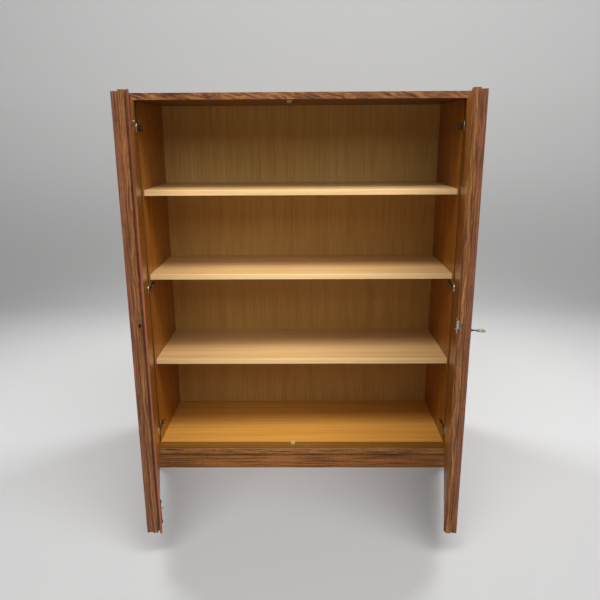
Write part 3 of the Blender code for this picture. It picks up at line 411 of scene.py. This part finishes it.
def draw_veneer(sheet, point, along, wood, seed, slant):
    """Wood grain along one axis. Returns its colour, its height and its figure from 0 to 1."""
    others = [value for axis, value in zip("XYZ", point) if axis != along]
    length = point["XYZ".index(along)] + seed
    across = others[0] + others[1] + length * slant
    wander = sheet.noise(length * wood.sway_rate, across * 3 * wood.sway_rate, seed, detail=1.5)
    figure = across + (wander - 0.5) * wood.sway
    broad = sheet.noise(length * wood.run, figure * wood.bands, seed + 3, detail=3, roughness=0.6)
    fine = sheet.noise(length * FINE_RATE, figure * wood.lines, seed + 7, detail=2, roughness=0.7)
    pores = sheet.noise(length * PORE_RATES[0], figure * PORE_RATES[1], seed + 11, detail=0)
    tone = 0.5 + (broad - 0.5) * wood.contrast + (fine - 0.5) * FINE_SHARE
    stops = list(zip(TONE_STOPS, (wood.dark, wood.mid, wood.light)))
    colour = sheet.node("ShaderNodeValToRGB", {"stops": stops}, {"Fac": tone})
    pits = sheet.step(pores, *PORE_LIMITS) * wood.pores
    colour = sheet.mix(pits, colour, scaled(wood.dark, PORE_TONE))
    if wood.veins:
        level = broad.maths("FRACT", broad * VEIN_COUNT)
        line = 1 - sheet.step(abs(level - 0.5), *VEIN_LIMITS)
        vein = line * sheet.step(fine, *VEIN_BREAKS) * wood.veins
        colour = sheet.mix(vein, colour, scaled(wood.dark, VEIN_TONE))
        tone = tone - vein * VEIN_SHARE
    return colour, fine * FINE_HEIGHT - pits, tone


def wood_layer(sheet, point, along, wood, gloss, seed=0.0, slant=0.0):
    """A wooden finish as colour, roughness, height and metallic value."""
    colour, height, tone = draw_veneer(sheet, point, along, wood, seed, slant)
    return colour, gloss + (0.5 - tone) * TONE_GLOSS, height, 0.0


def raw_layer(sheet, context, point, along, seed=0.0):
    """Sawn wood without lacquer."""
    return wood_layer(sheet, point, along, tinted_wood(context, "raw"), RAW_GLOSS, seed)


def metal_layer(sheet, context, point, name):
    """A plated finish with dull patches, in the same form as a wooden one."""
    metals = context.scene.highboard_metals
    clean = tuple(getattr(metals, name))
    dull = tuple(getattr(metals, name + "_dull"))
    roughness, metallic, seed = PLATINGS[name]
    x, y, z = point
    smudge = sheet.noise(x * SMUDGE_RATE + seed, y * SMUDGE_RATE, z * SMUDGE_RATE, detail=3)
    brushed = sheet.noise(x * BRUSH_RATE, y * BRUSH_RATE, z * BRUSH_RISE + seed, detail=1)
    colour = sheet.mix(sheet.step(smudge, *SMUDGE_LIMITS), clean, dull)
    roughness = roughness + (smudge - SMUDGE_LEVEL) * SMUDGE_GLOSS + (brushed - 0.5) * BRUSH_GLOSS
    return colour, roughness, brushed * BRUSH_HEIGHT, metallic


def lay(sheet, base, *over, depth=WOOD_RELIEF, coat=0.0):
    """Fills the shader with a base finish and the finishes that lie over it under their masks."""
    colour, roughness, height, metallic = base
    for mask, (next_colour, next_roughness, next_height, next_metallic) in over:
        colour = sheet.mix(mask, colour, next_colour)
        roughness = roughness + (next_roughness - roughness) * mask
        height = height + (next_height - height) * mask
        metallic = metallic + (next_metallic - metallic) * mask
    sheet.set(Base_Color=colour, Roughness=roughness, Metallic=metallic)
    sheet.set(Normal=sheet.bump(height, RELIEF_STRENGTH, depth))
    sheet.set(Coat_Weight=coat, Coat_Roughness=COAT_ROUGHNESS, Specular_IOR_Level=SPECULAR_LEVEL)


def dress(sheet, *names):
    """Gives a finish to CAD nodes."""
    for name in names:
        slots = NODES[name].data.materials
        slots.clear()
        slots.append(sheet.owner)


def dress_in_wood(finish, names, along, wood, gloss, seed=0.0, slant=0.0):
    """Gives CAD nodes a new finish that is one wood on every face."""
    sheet = Finish(finish)
    lay(sheet, wood_layer(sheet, sheet.point(), along, wood, gloss, seed, slant))
    dress(sheet, *names)


def dress_in_metal(finish, names, context, metal, door=None, depth=METAL_RELIEF):
    """Gives CAD nodes a new finish that is one metal on every face."""
    sheet = Finish(finish)
    lay(sheet, metal_layer(sheet, context, sheet.point(door), metal), depth=depth)
    dress(sheet, *names)


def screw_slot(across, along, middle):
    """A mask of a screw's slot, from places measured across and along it."""
    middle_across, middle_along = middle
    near = abs(across - middle_across) < SLOT_HALF_WIDTH
    return near * (abs(along - middle_along) < SLOT_HALF_LENGTH)


def colour_property(name, description, code):
    """A colour in the sidebar. Its default is given in sRGB hex digits."""
    default = hex_colour(code)
    return FloatVectorProperty(
        name=name, description=description, subtype="COLOR", size=3, min=0, max=1, default=default
    )


class HighboardWoods(bpy.types.PropertyGroup):
    """Colours of the woods."""

    outer_dark: colour_property("Outer dark", "Dark streaks of the outer veneer", "452410")
    outer_mid: colour_property("Outer middle", "Ground of the outer veneer", "7c4a26")
    outer_light: colour_property("Outer light", "Light streaks of the outer veneer", "a36936")
    inner_dark: colour_property("Inner dark", "Dark lines inside the sides and doors", "7e4712")
    inner_mid: colour_property("Inner middle", "Ground inside the sides and doors", "a2631b")
    inner_light: colour_property("Inner light", "Light lines inside the sides and doors", "b8792b")
    # Painted shade: the darker tones of the inner veneer, laid where shade falls
    painted_shade_mid: colour_property("Painted shade middle", "Ground of the inner veneer where it is darker", "744418")
    painted_shade_light: colour_property("Painted shade light", "Light lines of it where it is darker", "865424")
    shelf_dark: colour_property("Shelf dark", "Dark lines of the shelves", "bc9058")
    shelf_mid: colour_property("Shelf middle", "Ground of the shelves", "d2aa72")
    shelf_light: colour_property("Shelf light", "Light lines of the shelves", "dfbc87")
    lipping_mid: colour_property("Lipping middle", "Ground of the shelves' front edges", "eac68c")
    lipping_light: colour_property("Lipping light", "Light lines of those edges", "f2d097")
    back_dark: colour_property("Back dark", "Dark lines of the back panel", "a97c3a")
    back_mid: colour_property("Back middle", "Ground of the back panel", "cba55c")
    back_light: colour_property("Back light", "Light lines of the back panel", "dcba76")
    bottom_dark: colour_property("Bottom dark", "Dark lines of the bottom panel", "bb7b2b")
    bottom_mid: colour_property("Bottom middle", "Ground of the bottom panel", "d19642")
    bottom_light: colour_property("Bottom light", "Light lines of the bottom panel", "dea657")
    ledge_dark: colour_property("Ledge dark", "Dark lines on top of the bottom strip", "5a3a14")
    ledge_mid: colour_property("Ledge middle", "Ground on top of the bottom strip", "80541f")
    ledge_light: colour_property("Ledge light", "Light lines on top of the bottom strip", "99692c")
    ledge_front_dark: colour_property("Ledge front dark", "Dark streaks of its front", "3c230c")
    ledge_front_mid: colour_property("Ledge front middle", "Ground of its front", "a06a34")
    ledge_front_light: colour_property("Ledge front light", "Light streaks of its front", "bc8746")
    top_edge_mid: colour_property("Top edge middle", "Ground of the top's front edge", "80522b")
    top_edge_light: colour_property("Top edge light", "Light streaks of that edge", "ae743f")
    plinth_mid: colour_property("Plinth middle", "Ground of the plinth", "98602e")
    plinth_light: colour_property("Plinth light", "Light streaks of the plinth", "b2763d")
    board_edge_mid: colour_property("Board edge middle", "Ground of the outer boards' edges", "79492e")
    board_edge_light: colour_property("Board edge light", "Light streaks of those edges", "956440")
    panel_edge_mid: colour_property("Panel edge middle", "Ground of the door panels' edges", "804f26")
    panel_edge_light: colour_property("Panel edge light", "Light streaks of those edges", "b0743c")
    raw: colour_property("Raw wood", "Unfinished wood under and behind", "b08d62")
    strip: colour_property("Closing strip", "Red-brown closing strip", "a05a3c")
    bare: colour_property("Bare wood", "Worn and scratched places", "b98f58")
    gloss: FloatProperty(
        name="Roughness", description="Roughness of the lacquer on the outer veneer", subtype="FACTOR",
        min=0, max=1, default=0.42,
    )


class HighboardMetals(bpy.types.PropertyGroup):
    """Colours of the fittings."""

    steel: colour_property("Steel", "Hinge arms and plates", "7d7b77")
    steel_dull: colour_property("Dull steel", "Dull patches of the steel", "4d4b48")
    bright: colour_property("Bright steel", "Cups, shelf pins and lock plate", "c9c7c2")
    bright_dull: colour_property("Dull bright steel", "Dull patches of the bright steel", "8f8c86")
    screw: colour_property("Screw heads", "Screws of the hinge arms", "dcdad5")
    screw_dull: colour_property("Dull screw heads", "Dull patches of those screws", "a5a29c")
    brass: colour_property("Brass", "Keepers, knobs and the keyhole's lining", "d6c492")
    brass_dull: colour_property("Dull brass", "Dull patches of the brass", "857552")
    bronze: colour_property("Bronze", "Plates and rods of the bolts", "5a4630")
    bronze_dull: colour_property("Dull bronze", "Dull patches of the bronze", "33281c")
    browned: colour_property("Browned metal", "Strike plate of the lock", "784a2a")
    browned_dull: colour_property("Dull browned metal", "Dull patches of the strike plate", "4f301b")
    key: colour_property("Key", "Bow of the key", "ddd6bd")
    key_dull: colour_property("Dull key", "Dull patches of the bow", "8f8460")
    shank: colour_property("Key shank", "Darkened shank of the key", "2b241a")
    # Painted shade: the screws' slots are drawn near black
    slot: colour_property("Screw slots", "Slots in the hinge arms' screws", "1d1b19")


class HighboardStage(bpy.types.PropertyGroup):
    """Camera, lamps and ground."""

    ground: colour_property("Ground", "Floor and backdrop", "f2f2f2")
    lamp_power: FloatProperty(
        name="Ceiling lamp", description="Power of the lamp above the front", unit="POWER",
        min=0, default=700,
    )
    fill_power: FloatProperty(
        name="Front lamp", description="Power of the lamp in front", unit="POWER", min=0, default=70
    )
    rear_power: FloatProperty(
        name="Rear lamps", description="Power of each lamp behind", unit="POWER", min=0, default=45
    )
    surround: FloatProperty(
        name="Surround", description="Strength of the even light all round", min=0, default=0.03
    )
    lens: FloatProperty(
        name="Lens", description="Focal length in millimetres", unit="CAMERA", min=1, default=35.956
    )
    camera_place: FloatVectorProperty(
        name="Camera place", description="Where the camera stands", subtype="TRANSLATION",
        unit="LENGTH", size=3, default=(0.0193, -2.2451, 1.2075),
    )
    camera_turn: FloatVectorProperty(
        name="Camera turn", description="Tilt down, turn to the right and roll", subtype="EULER",
        unit="ROTATION", size=3,
        default=(math.radians(15.378), math.radians(-0.631), math.radians(0.343)),
    )


class HIGHBOARD_OT_top(bpy.types.Operator):
    """Dresses the top panel and its front lipping"""

    bl_idname = "highboard.top"
    bl_label = "Top"

    def execute(self, context):
        gloss = context.scene.highboard_woods.gloss
        outer, painted_shade = veneer(context, "outer"), veneer(context, "painted_shade")
        sheet = Finish("top_veneer")
        point, (_, ny, nz) = sheet.point(), sheet.facing()
        lay(
            sheet,
            wood_layer(sheet, point, "X", outer, gloss, seed=2.0, slant=0.05),
            # Painted shade: the underside gets the darker veneer
            (nz < -FACING, wood_layer(sheet, point, "X", painted_shade, gloss, seed=1.0)),
            (ny > FACING, raw_layer(sheet, context, point, "X")),
            coat=TOP_COAT,
        )
        dress(sheet, "top_panel")
        edge = veneer(context, "top_edge")
        names = ["top_front_lipping"]
        dress_in_wood("top_lipping_veneer", names, "X", edge, gloss, seed=4.3, slant=0.3)
        return {"FINISHED"}


class HIGHBOARD_OT_bottom(bpy.types.Operator):
    """Dresses the bottom panel and the dark strip in front of it"""

    bl_idname = "highboard.bottom"
    bl_label = "Bottom"

    def execute(self, context):
        gloss = context.scene.highboard_woods.gloss
        self.dress_panel(context, gloss)
        self.dress_strip(context, gloss)
        return {"FINISHED"}

    def dress_panel(self, context, gloss):
        sheet = Finish("bottom_veneer")
        point, (nx, ny, nz) = sheet.point(), sheet.facing()
        lay(
            sheet,
            wood_layer(sheet, point, "X", veneer(context, "bottom"), gloss - BOTTOM_SHEEN, seed=3.0),
            (nz < -FACING, raw_layer(sheet, context, point, "X")),
            (abs(nx) > FACING, wood_layer(sheet, point, "X", veneer(context, "outer"), gloss)),
            (ny > FACING, raw_layer(sheet, context, point, "X", seed=2.0)),
            coat=COAT,
        )
        dress(sheet, "bottom_panel")

    def dress_strip(self, context, gloss):
        upper, front = veneer(context, "ledge"), veneer(context, "ledge_front")
        sheet = Finish("bottom_strip_veneer")
        point, (_, _, nz) = sheet.point(), sheet.facing()
        x, y, z = point
        patches = sheet.step(sheet.noise(x * WORN_RATE, detail=4, roughness=0.7), *WORN_LIMITS)
        corner = (y < WORN_Y) * (z > WORN_Z) * patches
        scratched = x.within(*SCRATCHED_X) * (abs(y - SCRATCHED_Y) < SCRATCHED_HALF)
        streaks = sheet.noise(x * SCRATCH_RATES[0], y * SCRATCH_RATES[1], detail=1)
        scratches = sheet.step(streaks, *SCRATCH_LIMITS) * scratched
        bare = (tuple(context.scene.highboard_woods.bare), *BARE_FINISH)
        lay(
            sheet,
            wood_layer(sheet, point, "X", front, gloss, seed=6.0, slant=0.02),
            (nz > FACING, wood_layer(sheet, point, "X", upper, gloss, seed=7.0)),
            (nz < -FACING, raw_layer(sheet, context, point, "X")),
            (corner * WORN_SHARE, bare),
            (scratches * SCRATCH_SHARE, bare),
        )
        dress(sheet, "bottom_front_strip")


class HIGHBOARD_OT_sides(bpy.types.Operator):
    """Dresses the sides with their dowels and shelf pins"""

    bl_idname = "highboard.sides"
    bl_label = "Sides"

    def execute(self, context):
        gloss = context.scene.highboard_woods.gloss
        inner, outer, painted_shade = (veneer(context, name) for name in ("inner", "outer", "painted_shade"))
        for seed, name in enumerate(("left_side", "right_side")):
            sheet = Finish(name + "_veneer")
            point, (nx, ny, _) = sheet.point(), sheet.facing()
            x, _, z = point
            outside = (abs(nx) > FACING) * (abs(x) > SIDE_X - SIDE_SKIN)
            raw = raw_layer(sheet, context, point, "Z")
            lay(
                sheet,
                wood_layer(sheet, point, "Z", inner, gloss - SIDE_SHEEN, seed=1.0 + seed),
                # Painted shade: the front edges get the darker veneer
                (ny < -FACING, wood_layer(sheet, point, "Z", painted_shade, gloss, seed=4.0 + seed)),
                (outside, wood_layer(sheet, point, "Z", outer, gloss, seed=9.0 + seed)),
                (ny > FACING, raw),
                ((z < SIDE_LOW) + (z > SIDE_HIGH), raw),
                (abs(x) < SHELF_PINS_X, metal_layer(sheet, context, point, "bright")),
                coat=COAT,
            )
            dress(sheet, name)
        return {"FINISHED"}


class HIGHBOARD_OT_back(bpy.types.Operator):
    """Dresses the back panel and its screws"""

    bl_idname = "highboard.back"
    bl_label = "Back"

    def execute(self, context):
        sheet = Finish("back_veneer")
        point, (_, ny, _) = sheet.point(), sheet.facing()
        screws = (point[1] > BACK_SCREW_HEADS_Y) + (point[1] < BACK_SCREW_POINTS_Y)
        lay(
            sheet,
            wood_layer(sheet, point, "Z", veneer(context, "back"), BACK_GLOSS),
            (ny > FACING, raw_layer(sheet, context, point, "Z")),
            (screws, metal_layer(sheet, context, point, "steel")),
        )
        dress(sheet, "back_panel")
        return {"FINISHED"}


class HIGHBOARD_OT_plinth(bpy.types.Operator):
    """Dresses the plinth with its corner blocks"""

    bl_idname = "highboard.plinth"
    bl_label = "Plinth"

    def execute(self, context):
        shown, bare = veneer(context, "plinth"), tinted_wood(context, "raw")
        self.dress_front(context, shown)
        self.dress_rails(context, shown)
        dress_in_wood("plinth_inner_wood", ["plinth_back"], "X", bare, RAW_GLOSS, seed=4.0)
        dress_in_wood("plinth_middle_wood", ["plinth_middle"], "Y", bare, RAW_GLOSS, seed=8.0)
        return {"FINISHED"}

    def dress_front(self, context, shown):
        sheet = Finish("plinth_front_veneer")
        point, (_, ny, nz) = sheet.point(), sheet.facing()
        raw = raw_layer(sheet, context, point, "X")
        face = wood_layer(sheet, point, "X", shown, PLINTH_GLOSS, seed=2.0)
        lay(sheet, face, (ny > FACING, raw), (abs(nz) > FACING, raw))
        dress(sheet, "plinth_front")

    def dress_rails(self, context, shown):
        sheet = Finish("plinth_side_veneer")
        point = sheet.point()
        x, _, z = point
        inside = abs(x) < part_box("plinth_right")[1].x - RAIL_SKIN
        steel = metal_layer(sheet, context, point, "steel")
        lay(
            sheet,
            wood_layer(sheet, point, "Y", shown, PLINTH_GLOSS, seed=5.0),
            (inside, raw_layer(sheet, context, point, "Y")),
            ((abs(x) < BLOCK_SCREWS_X) * (z < BLOCK_SCREWS_Z), steel),
            (z > RAIL_SCREWS_Z, steel),
        )
        dress(sheet, "plinth_left", "plinth_right")


class HIGHBOARD_OT_shelves(bpy.types.Operator):
    """Dresses the shelves and their lippings"""

    bl_idname = "highboard.shelves"
    bl_label = "Shelves"

    def execute(self, context):
        shelf, lipping = veneer(context, "shelf"), veneer(context, "lipping")
        for index, level in enumerate(("upper", "middle", "lower")):
            name, seed = level + "_shelf", 2.5 * index
            dress_in_wood(name + "_veneer", [name], "X", shelf, SHELF_GLOSS, seed)
            edges = [name + "_lipping"]
            dress_in_wood(level + "_lipping_wood", edges, "X", lipping, SHELF_GLOSS, 1 + seed)
        return {"FINISHED"}


class HIGHBOARD_OT_doors(bpy.types.Operator):
    """Dresses both doors and the closing strip"""

    bl_idname = "highboard.doors"
    bl_label = "Doors"

    def execute(self, context):
        gloss = context.scene.highboard_woods.gloss
        for seed, side in enumerate(("left", "right")):
            self.dress_board(context, side, seed, gloss)
            self.dress_panel(context, side, seed, gloss)
        self.dress_strip(context)
        return {"FINISHED"}

    def dress_board(self, context, side, seed, gloss):
        outer, edge = veneer(context, "outer"), veneer(context, "board_edge")
        sheet = Finish(side + "_door_front_veneer")
        point, (nx, _, _) = sheet.point(side), sheet.facing(side)
        lay(
            sheet,
            wood_layer(sheet, point, "Z", outer, gloss, seed=3.0 + 4 * seed),
            (abs(nx) > FACING, wood_layer(sheet, point, "Z", edge, gloss, seed=1.0 + 3 * seed)),
        )
        dress(sheet, side + "_door_front")

    def dress_panel(self, context, side, seed, gloss):
        edge, inner, painted_shade = (veneer(context, name) for name in ("panel_edge", "inner", "painted_shade"))
        sheet = Finish(side + "_door_panel_veneer")
        point, (_, ny, _) = sheet.point(side), sheet.facing(side)
        x, y, z = point
        inside = (ny > FACING) * (y > DOOR_INNER - DOOR_SKIN)
        # Painted shade: the inner face is laid darker towards the top
        upper = inside * sheet.step(z, *PAINTED_SHADE_Z) * PAINTED_SHADE_SHARE
        bores = y.within(*CUP_BORES_Y) * abs(x).within(*CUP_BORES_X)
        lay(
            sheet,
            wood_layer(sheet, point, "Z", edge, gloss, seed=5.0 + 3 * seed),
            (inside, wood_layer(sheet, point, "Z", inner, gloss - DOOR_SHEEN, seed=6.0 + seed)),
            (upper, wood_layer(sheet, point, "Z", painted_shade, gloss, seed=6.0 + seed)),
            (bores, raw_layer(sheet, context, point, "Z")),
            coat=COAT,
        )
        dress(sheet, side + "_door_panel")

    def dress_strip(self, context):
        red, shade_wood = tinted_wood(context, "strip"), tinted_wood(context, "strip_painted_shade")
        sheet = Finish("closing_strip_wood")
        point = sheet.point("left")
        _, y, z = point
        # Painted shade: the strip is darker towards its top and along its root by the door panel
        upper = sheet.step(z, *STRIP_SHADE_Z) * STRIP_SHADE_SHARE
        root = (y < STRIP_ROOT_SHADE_Y) * STRIP_ROOT_SHADE_SHARE
        shade = upper.maths("MAXIMUM", upper, root)
        shaded = wood_layer(sheet, point, "Z", shade_wood, STRIP_SHADE_GLOSS)
        lay(sheet, wood_layer(sheet, point, "Z", red, STRIP_GLOSS), (shade, shaded))
        dress(sheet, "closing_strip")


class HIGHBOARD_OT_hinges(bpy.types.Operator):
    """Dresses the six hinges"""

    bl_idname = "highboard.hinges"
    bl_label = "Hinges"

    def execute(self, context):
        levels = ("upper", "middle", "lower")
        hinges = [f"{side}_{level}_hinge_" for side in HINGED for level in levels]
        arms = Finish("hinge_arm_steel")
        point = arms.point()
        heads = abs(point[0]) < ARM_HEADS_X
        slot = (tuple(context.scene.highboard_metals.slot), *SLOT_FINISH)
        lay(
            arms,
            metal_layer(arms, context, point, "steel"),
            (heads, metal_layer(arms, context, point, "screw")),
            # Painted shade in the crossed slots, over a real dip in the relief
            (heads * self.crossed_slots(point), slot),
            depth=METAL_RELIEF,
        )
        dress(arms, *(hinge + "arm" for hinge in hinges))
        cups = [hinge + "cup" for hinge in hinges]
        dress_in_metal("hinge_cup_steel", cups, context, "bright", depth=PLATED_RELIEF)
        plain = [hinge + part for hinge in hinges for part in ("plate", "pin")]
        dress_in_metal("hinge_plate_steel", plain, context, "steel", depth=PLATED_RELIEF)
        return {"FINISHED"}

    def crossed_slots(self, point):
        """A mask of the crossed slots in all screws of the arms."""
        _, y, z = point
        slots = []
        for inset in ARM_SCREW_INSETS:
            middle = FRONT_EDGE + inset
            for level in HINGE_LEVELS:
                slots.append(screw_slot(z, y, (level, middle)))
                slots.append(screw_slot(y, z, (middle, level)))
        return sum(slots[1:], slots[0]) > 0.5


class HIGHBOARD_OT_bolts(bpy.types.Operator):
    """Dresses the surface bolts, their keepers and the strike"""

    bl_idname = "highboard.bolts"
    bl_label = "Bolts"

    def execute(self, context):
        keepers = ["upper_bolt_keeper", "lower_bolt_keeper"]
        dress_in_metal("keeper_brass", keepers, context, "brass")
        plates = ["upper_bolt_plate", "lower_bolt_plate"]
        dress_in_metal("bolt_plate_bronze", plates, context, "bronze", door="left")
        rods = Finish("bolt_rod_bronze")
        point = rods.point("left")
        knobs = (point[1] > KNOB_Y, metal_layer(rods, context, point, "brass"))
        lay(rods, metal_layer(rods, context, point, "bronze"), knobs, depth=METAL_RELIEF)
        dress(rods, "upper_bolt_rod", "lower_bolt_rod")
        dress_in_metal("lock_strike_brown", ["lock_strike"], context, "browned")
        return {"FINISHED"}


class HIGHBOARD_OT_lock(bpy.types.Operator):
    """Dresses the lock, its key and the keyhole's lining"""

    bl_idname = "highboard.lock"
    bl_label = "Lock"

    def execute(self, context):
        dress_in_metal("lock_plate_steel", ["lock_plate"], context, "bright")
        dress_in_metal("lock_case_steel", ["lock_case", "lock_cam", "lock_bolt"], context, "steel")
        key = Finish("key_brass")
        point = key.point("right")
        shank = (tuple(context.scene.highboard_metals.shank), *SHANK_FINISH)
        bow = metal_layer(key, context, point, "key")
        lay(key, bow, (key.step(point[1], *KEY_SHANK_Y), shank), depth=METAL_RELIEF)
        dress(key, "key")
        dress_in_metal("keyhole_brass", ["keyhole_bush"], context, "brass")
        return {"FINISHED"}


class HIGHBOARD_OT_stage(bpy.types.Operator):
    """Adds the ground with its backdrop, the lamps and the camera"""

    bl_idname = "highboard.stage"
    bl_label = "Stage"

    def execute(self, context):
        stage = context.scene.highboard_stage
        self.add_ground(context, tuple(stage.ground))
        self.add_light(context, stage)
        self.add_camera(context, stage)
        context.scene.view_settings.view_transform = "Standard"
        return {"FINISHED"}

    def add_ground(self, context, colour):
        """A floor that turns up into a wall behind the piece."""
        front, turn, radius, height, half = -7.0, 1.9, 1.4, 6.0, 20.0
        steps = 16
        profile = [(front, 0.0)]
        for step in range(steps + 1):
            angle = math.radians(90 * step / steps)
            profile.append((turn + radius * math.sin(angle), radius * (1 - math.cos(angle))))
        profile.append((turn + radius, height))
        points = [(x, y, z) for y, z in profile for x in (-half, half)]
        faces = [(2 * i, 2 * i + 1, 2 * i + 3, 2 * i + 2) for i in range(len(profile) - 1)]
        mesh = bpy.data.meshes.new("ground")
        mesh.from_pydata(points, [], faces)
        mesh.shade_smooth()
        ground = bpy.data.objects.new("ground", mesh)
        context.scene.collection.objects.link(ground)
        mesh.materials.append(self.ground_paper(colour))

    def ground_paper(self, colour):
        """Paper that is seen lighter up the wall, and throws light back in one tone."""
        sheet = Finish("ground_paper")
        rise = sheet.step(sheet.point()[2], *WALL_RISE)
        shown = sheet.mix(rise, scaled(colour, FLOOR_TONE), scaled(colour, WALL_TONE))
        camera_ray = sheet.node("ShaderNodeLightPath", output="Is Camera Ray")
        tone = sheet.mix(camera_ray, scaled(colour, LIT_TONE), shown)
        sheet.set(Base_Color=tone, Roughness=PAPER_ROUGHNESS)
        return sheet.owner

    def add_light(self, context, stage):
        world = Finish("surround", world=True)
        seen = world.node("ShaderNodeLightPath", output="Is Camera Ray")
        mirrored = world.node("ShaderNodeLightPath", output="Is Glossy Ray")
        through = world.node("ShaderNodeLightPath", output="Is Transmission Ray")
        strength = stage.surround + seen * SURROUND_SEEN + mirrored * SURROUND_MIRRORED
        strength = strength + through * SURROUND_THROUGH
        world.set(Color=(1.0, 1.0, 1.0), Strength=strength)
        context.scene.world = world.owner
        self.add_lamp(context, "ceiling_lamp", stage.lamp_power, *CEILING_LAMP)
        self.add_lamp(context, "front_lamp", stage.fill_power, *FRONT_LAMP)
        x, y, z = REAR_LAMP_PLACE
        for side in (-1, 1):
            place = (side * x, y, z)
            lamp = self.add_lamp(
                context, "rear_lamp", stage.rear_power, REAR_LAMP_SIZE, place, REAR_LAMP_SPREAD
            )
            lamp.visible_glossy = False

    def add_lamp(self, context, name, power, size, place, spread=180):
        """A flat lamp that faces the piece. Returns its object."""
        lamp = bpy.data.lights.new(name, "AREA")
        lamp.energy = power
        lamp.spread = math.radians(spread)
        lamp.shape = "RECTANGLE"
        lamp.size, lamp.size_y = size
        holder = bpy.data.objects.new(name, lamp)
        look = Vector(FACED_POINT) - Vector(place)
        turned = look.to_track_quat("-Z", "Y").to_matrix().to_4x4()
        holder.matrix_world = Matrix.Translation(place) @ turned
        context.scene.collection.objects.link(holder)
        return holder

    def add_camera(self, context, stage):
        tilt, turn, roll = stage.camera_turn
        sine, cosine = math.sin(turn), math.cos(turn)
        ahead = Vector((sine * math.cos(tilt), cosine * math.cos(tilt), -math.sin(tilt)))
        level = Vector((cosine, -sine, 0))
        down = ahead.cross(level)
        right = math.cos(roll) * level + math.sin(roll) * down
        up = math.sin(roll) * level - math.cos(roll) * down
        lens = bpy.data.cameras.new("camera")
        lens.sensor_width = 36
        lens.lens = stage.lens
        holder = bpy.data.objects.new("camera", lens)
        axes = Matrix((right, up, -ahead)).transposed().to_4x4()
        holder.matrix_world = Matrix.Translation(Vector(stage.camera_place)) @ axes
        context.scene.collection.objects.link(holder)
        context.scene.camera = holder


OPERATORS = (
    HIGHBOARD_OT_stage,
    HIGHBOARD_OT_top,
    HIGHBOARD_OT_bottom,
    HIGHBOARD_OT_sides,
    HIGHBOARD_OT_back,
    HIGHBOARD_OT_plinth,
    HIGHBOARD_OT_shelves,
    HIGHBOARD_OT_doors,
    HIGHBOARD_OT_hinges,
    HIGHBOARD_OT_bolts,
    HIGHBOARD_OT_lock,
)


class HIGHBOARD_PT_panel(bpy.types.Panel):
    """Lists the highboard's operators in the sidebar"""

    bl_idname = "HIGHBOARD_PT_panel"
    bl_label = "Highboard"
    bl_space_type = "VIEW_3D"
    bl_region_type = "UI"
    bl_category = "Highboard"

    def draw(self, context):
        for operator in OPERATORS:
            self.layout.operator(operator.bl_idname)
        scene = context.scene
        for group in (scene.highboard_woods, scene.highboard_metals, scene.highboard_stage):
            box = self.layout.box()
            for name in group.bl_rna.properties.keys():
                if name not in ("rna_type", "name"):
                    box.prop(group, name)


GROUPS = (HighboardWoods, HighboardMetals, HighboardStage)


def register():
    for item in (*GROUPS, *OPERATORS, HIGHBOARD_PT_panel):
        bpy.utils.register_class(item)
    bpy.types.Scene.highboard_woods = PointerProperty(type=HighboardWoods)
    bpy.types.Scene.highboard_metals = PointerProperty(type=HighboardMetals)
    bpy.types.Scene.highboard_stage = PointerProperty(type=HighboardStage)


def unregister():
    del bpy.types.Scene.highboard_stage
    del bpy.types.Scene.highboard_metals
    del bpy.types.Scene.highboard_woods
    for item in reversed((*GROUPS, *OPERATORS, HIGHBOARD_PT_panel)):
        bpy.utils.unregister_class(item)


def main():
    register()
    for operator in OPERATORS:
        group, name = operator.bl_idname.split(".")
        getattr(getattr(bpy.ops, group), name)()


if __name__ == "__main__":
    main()
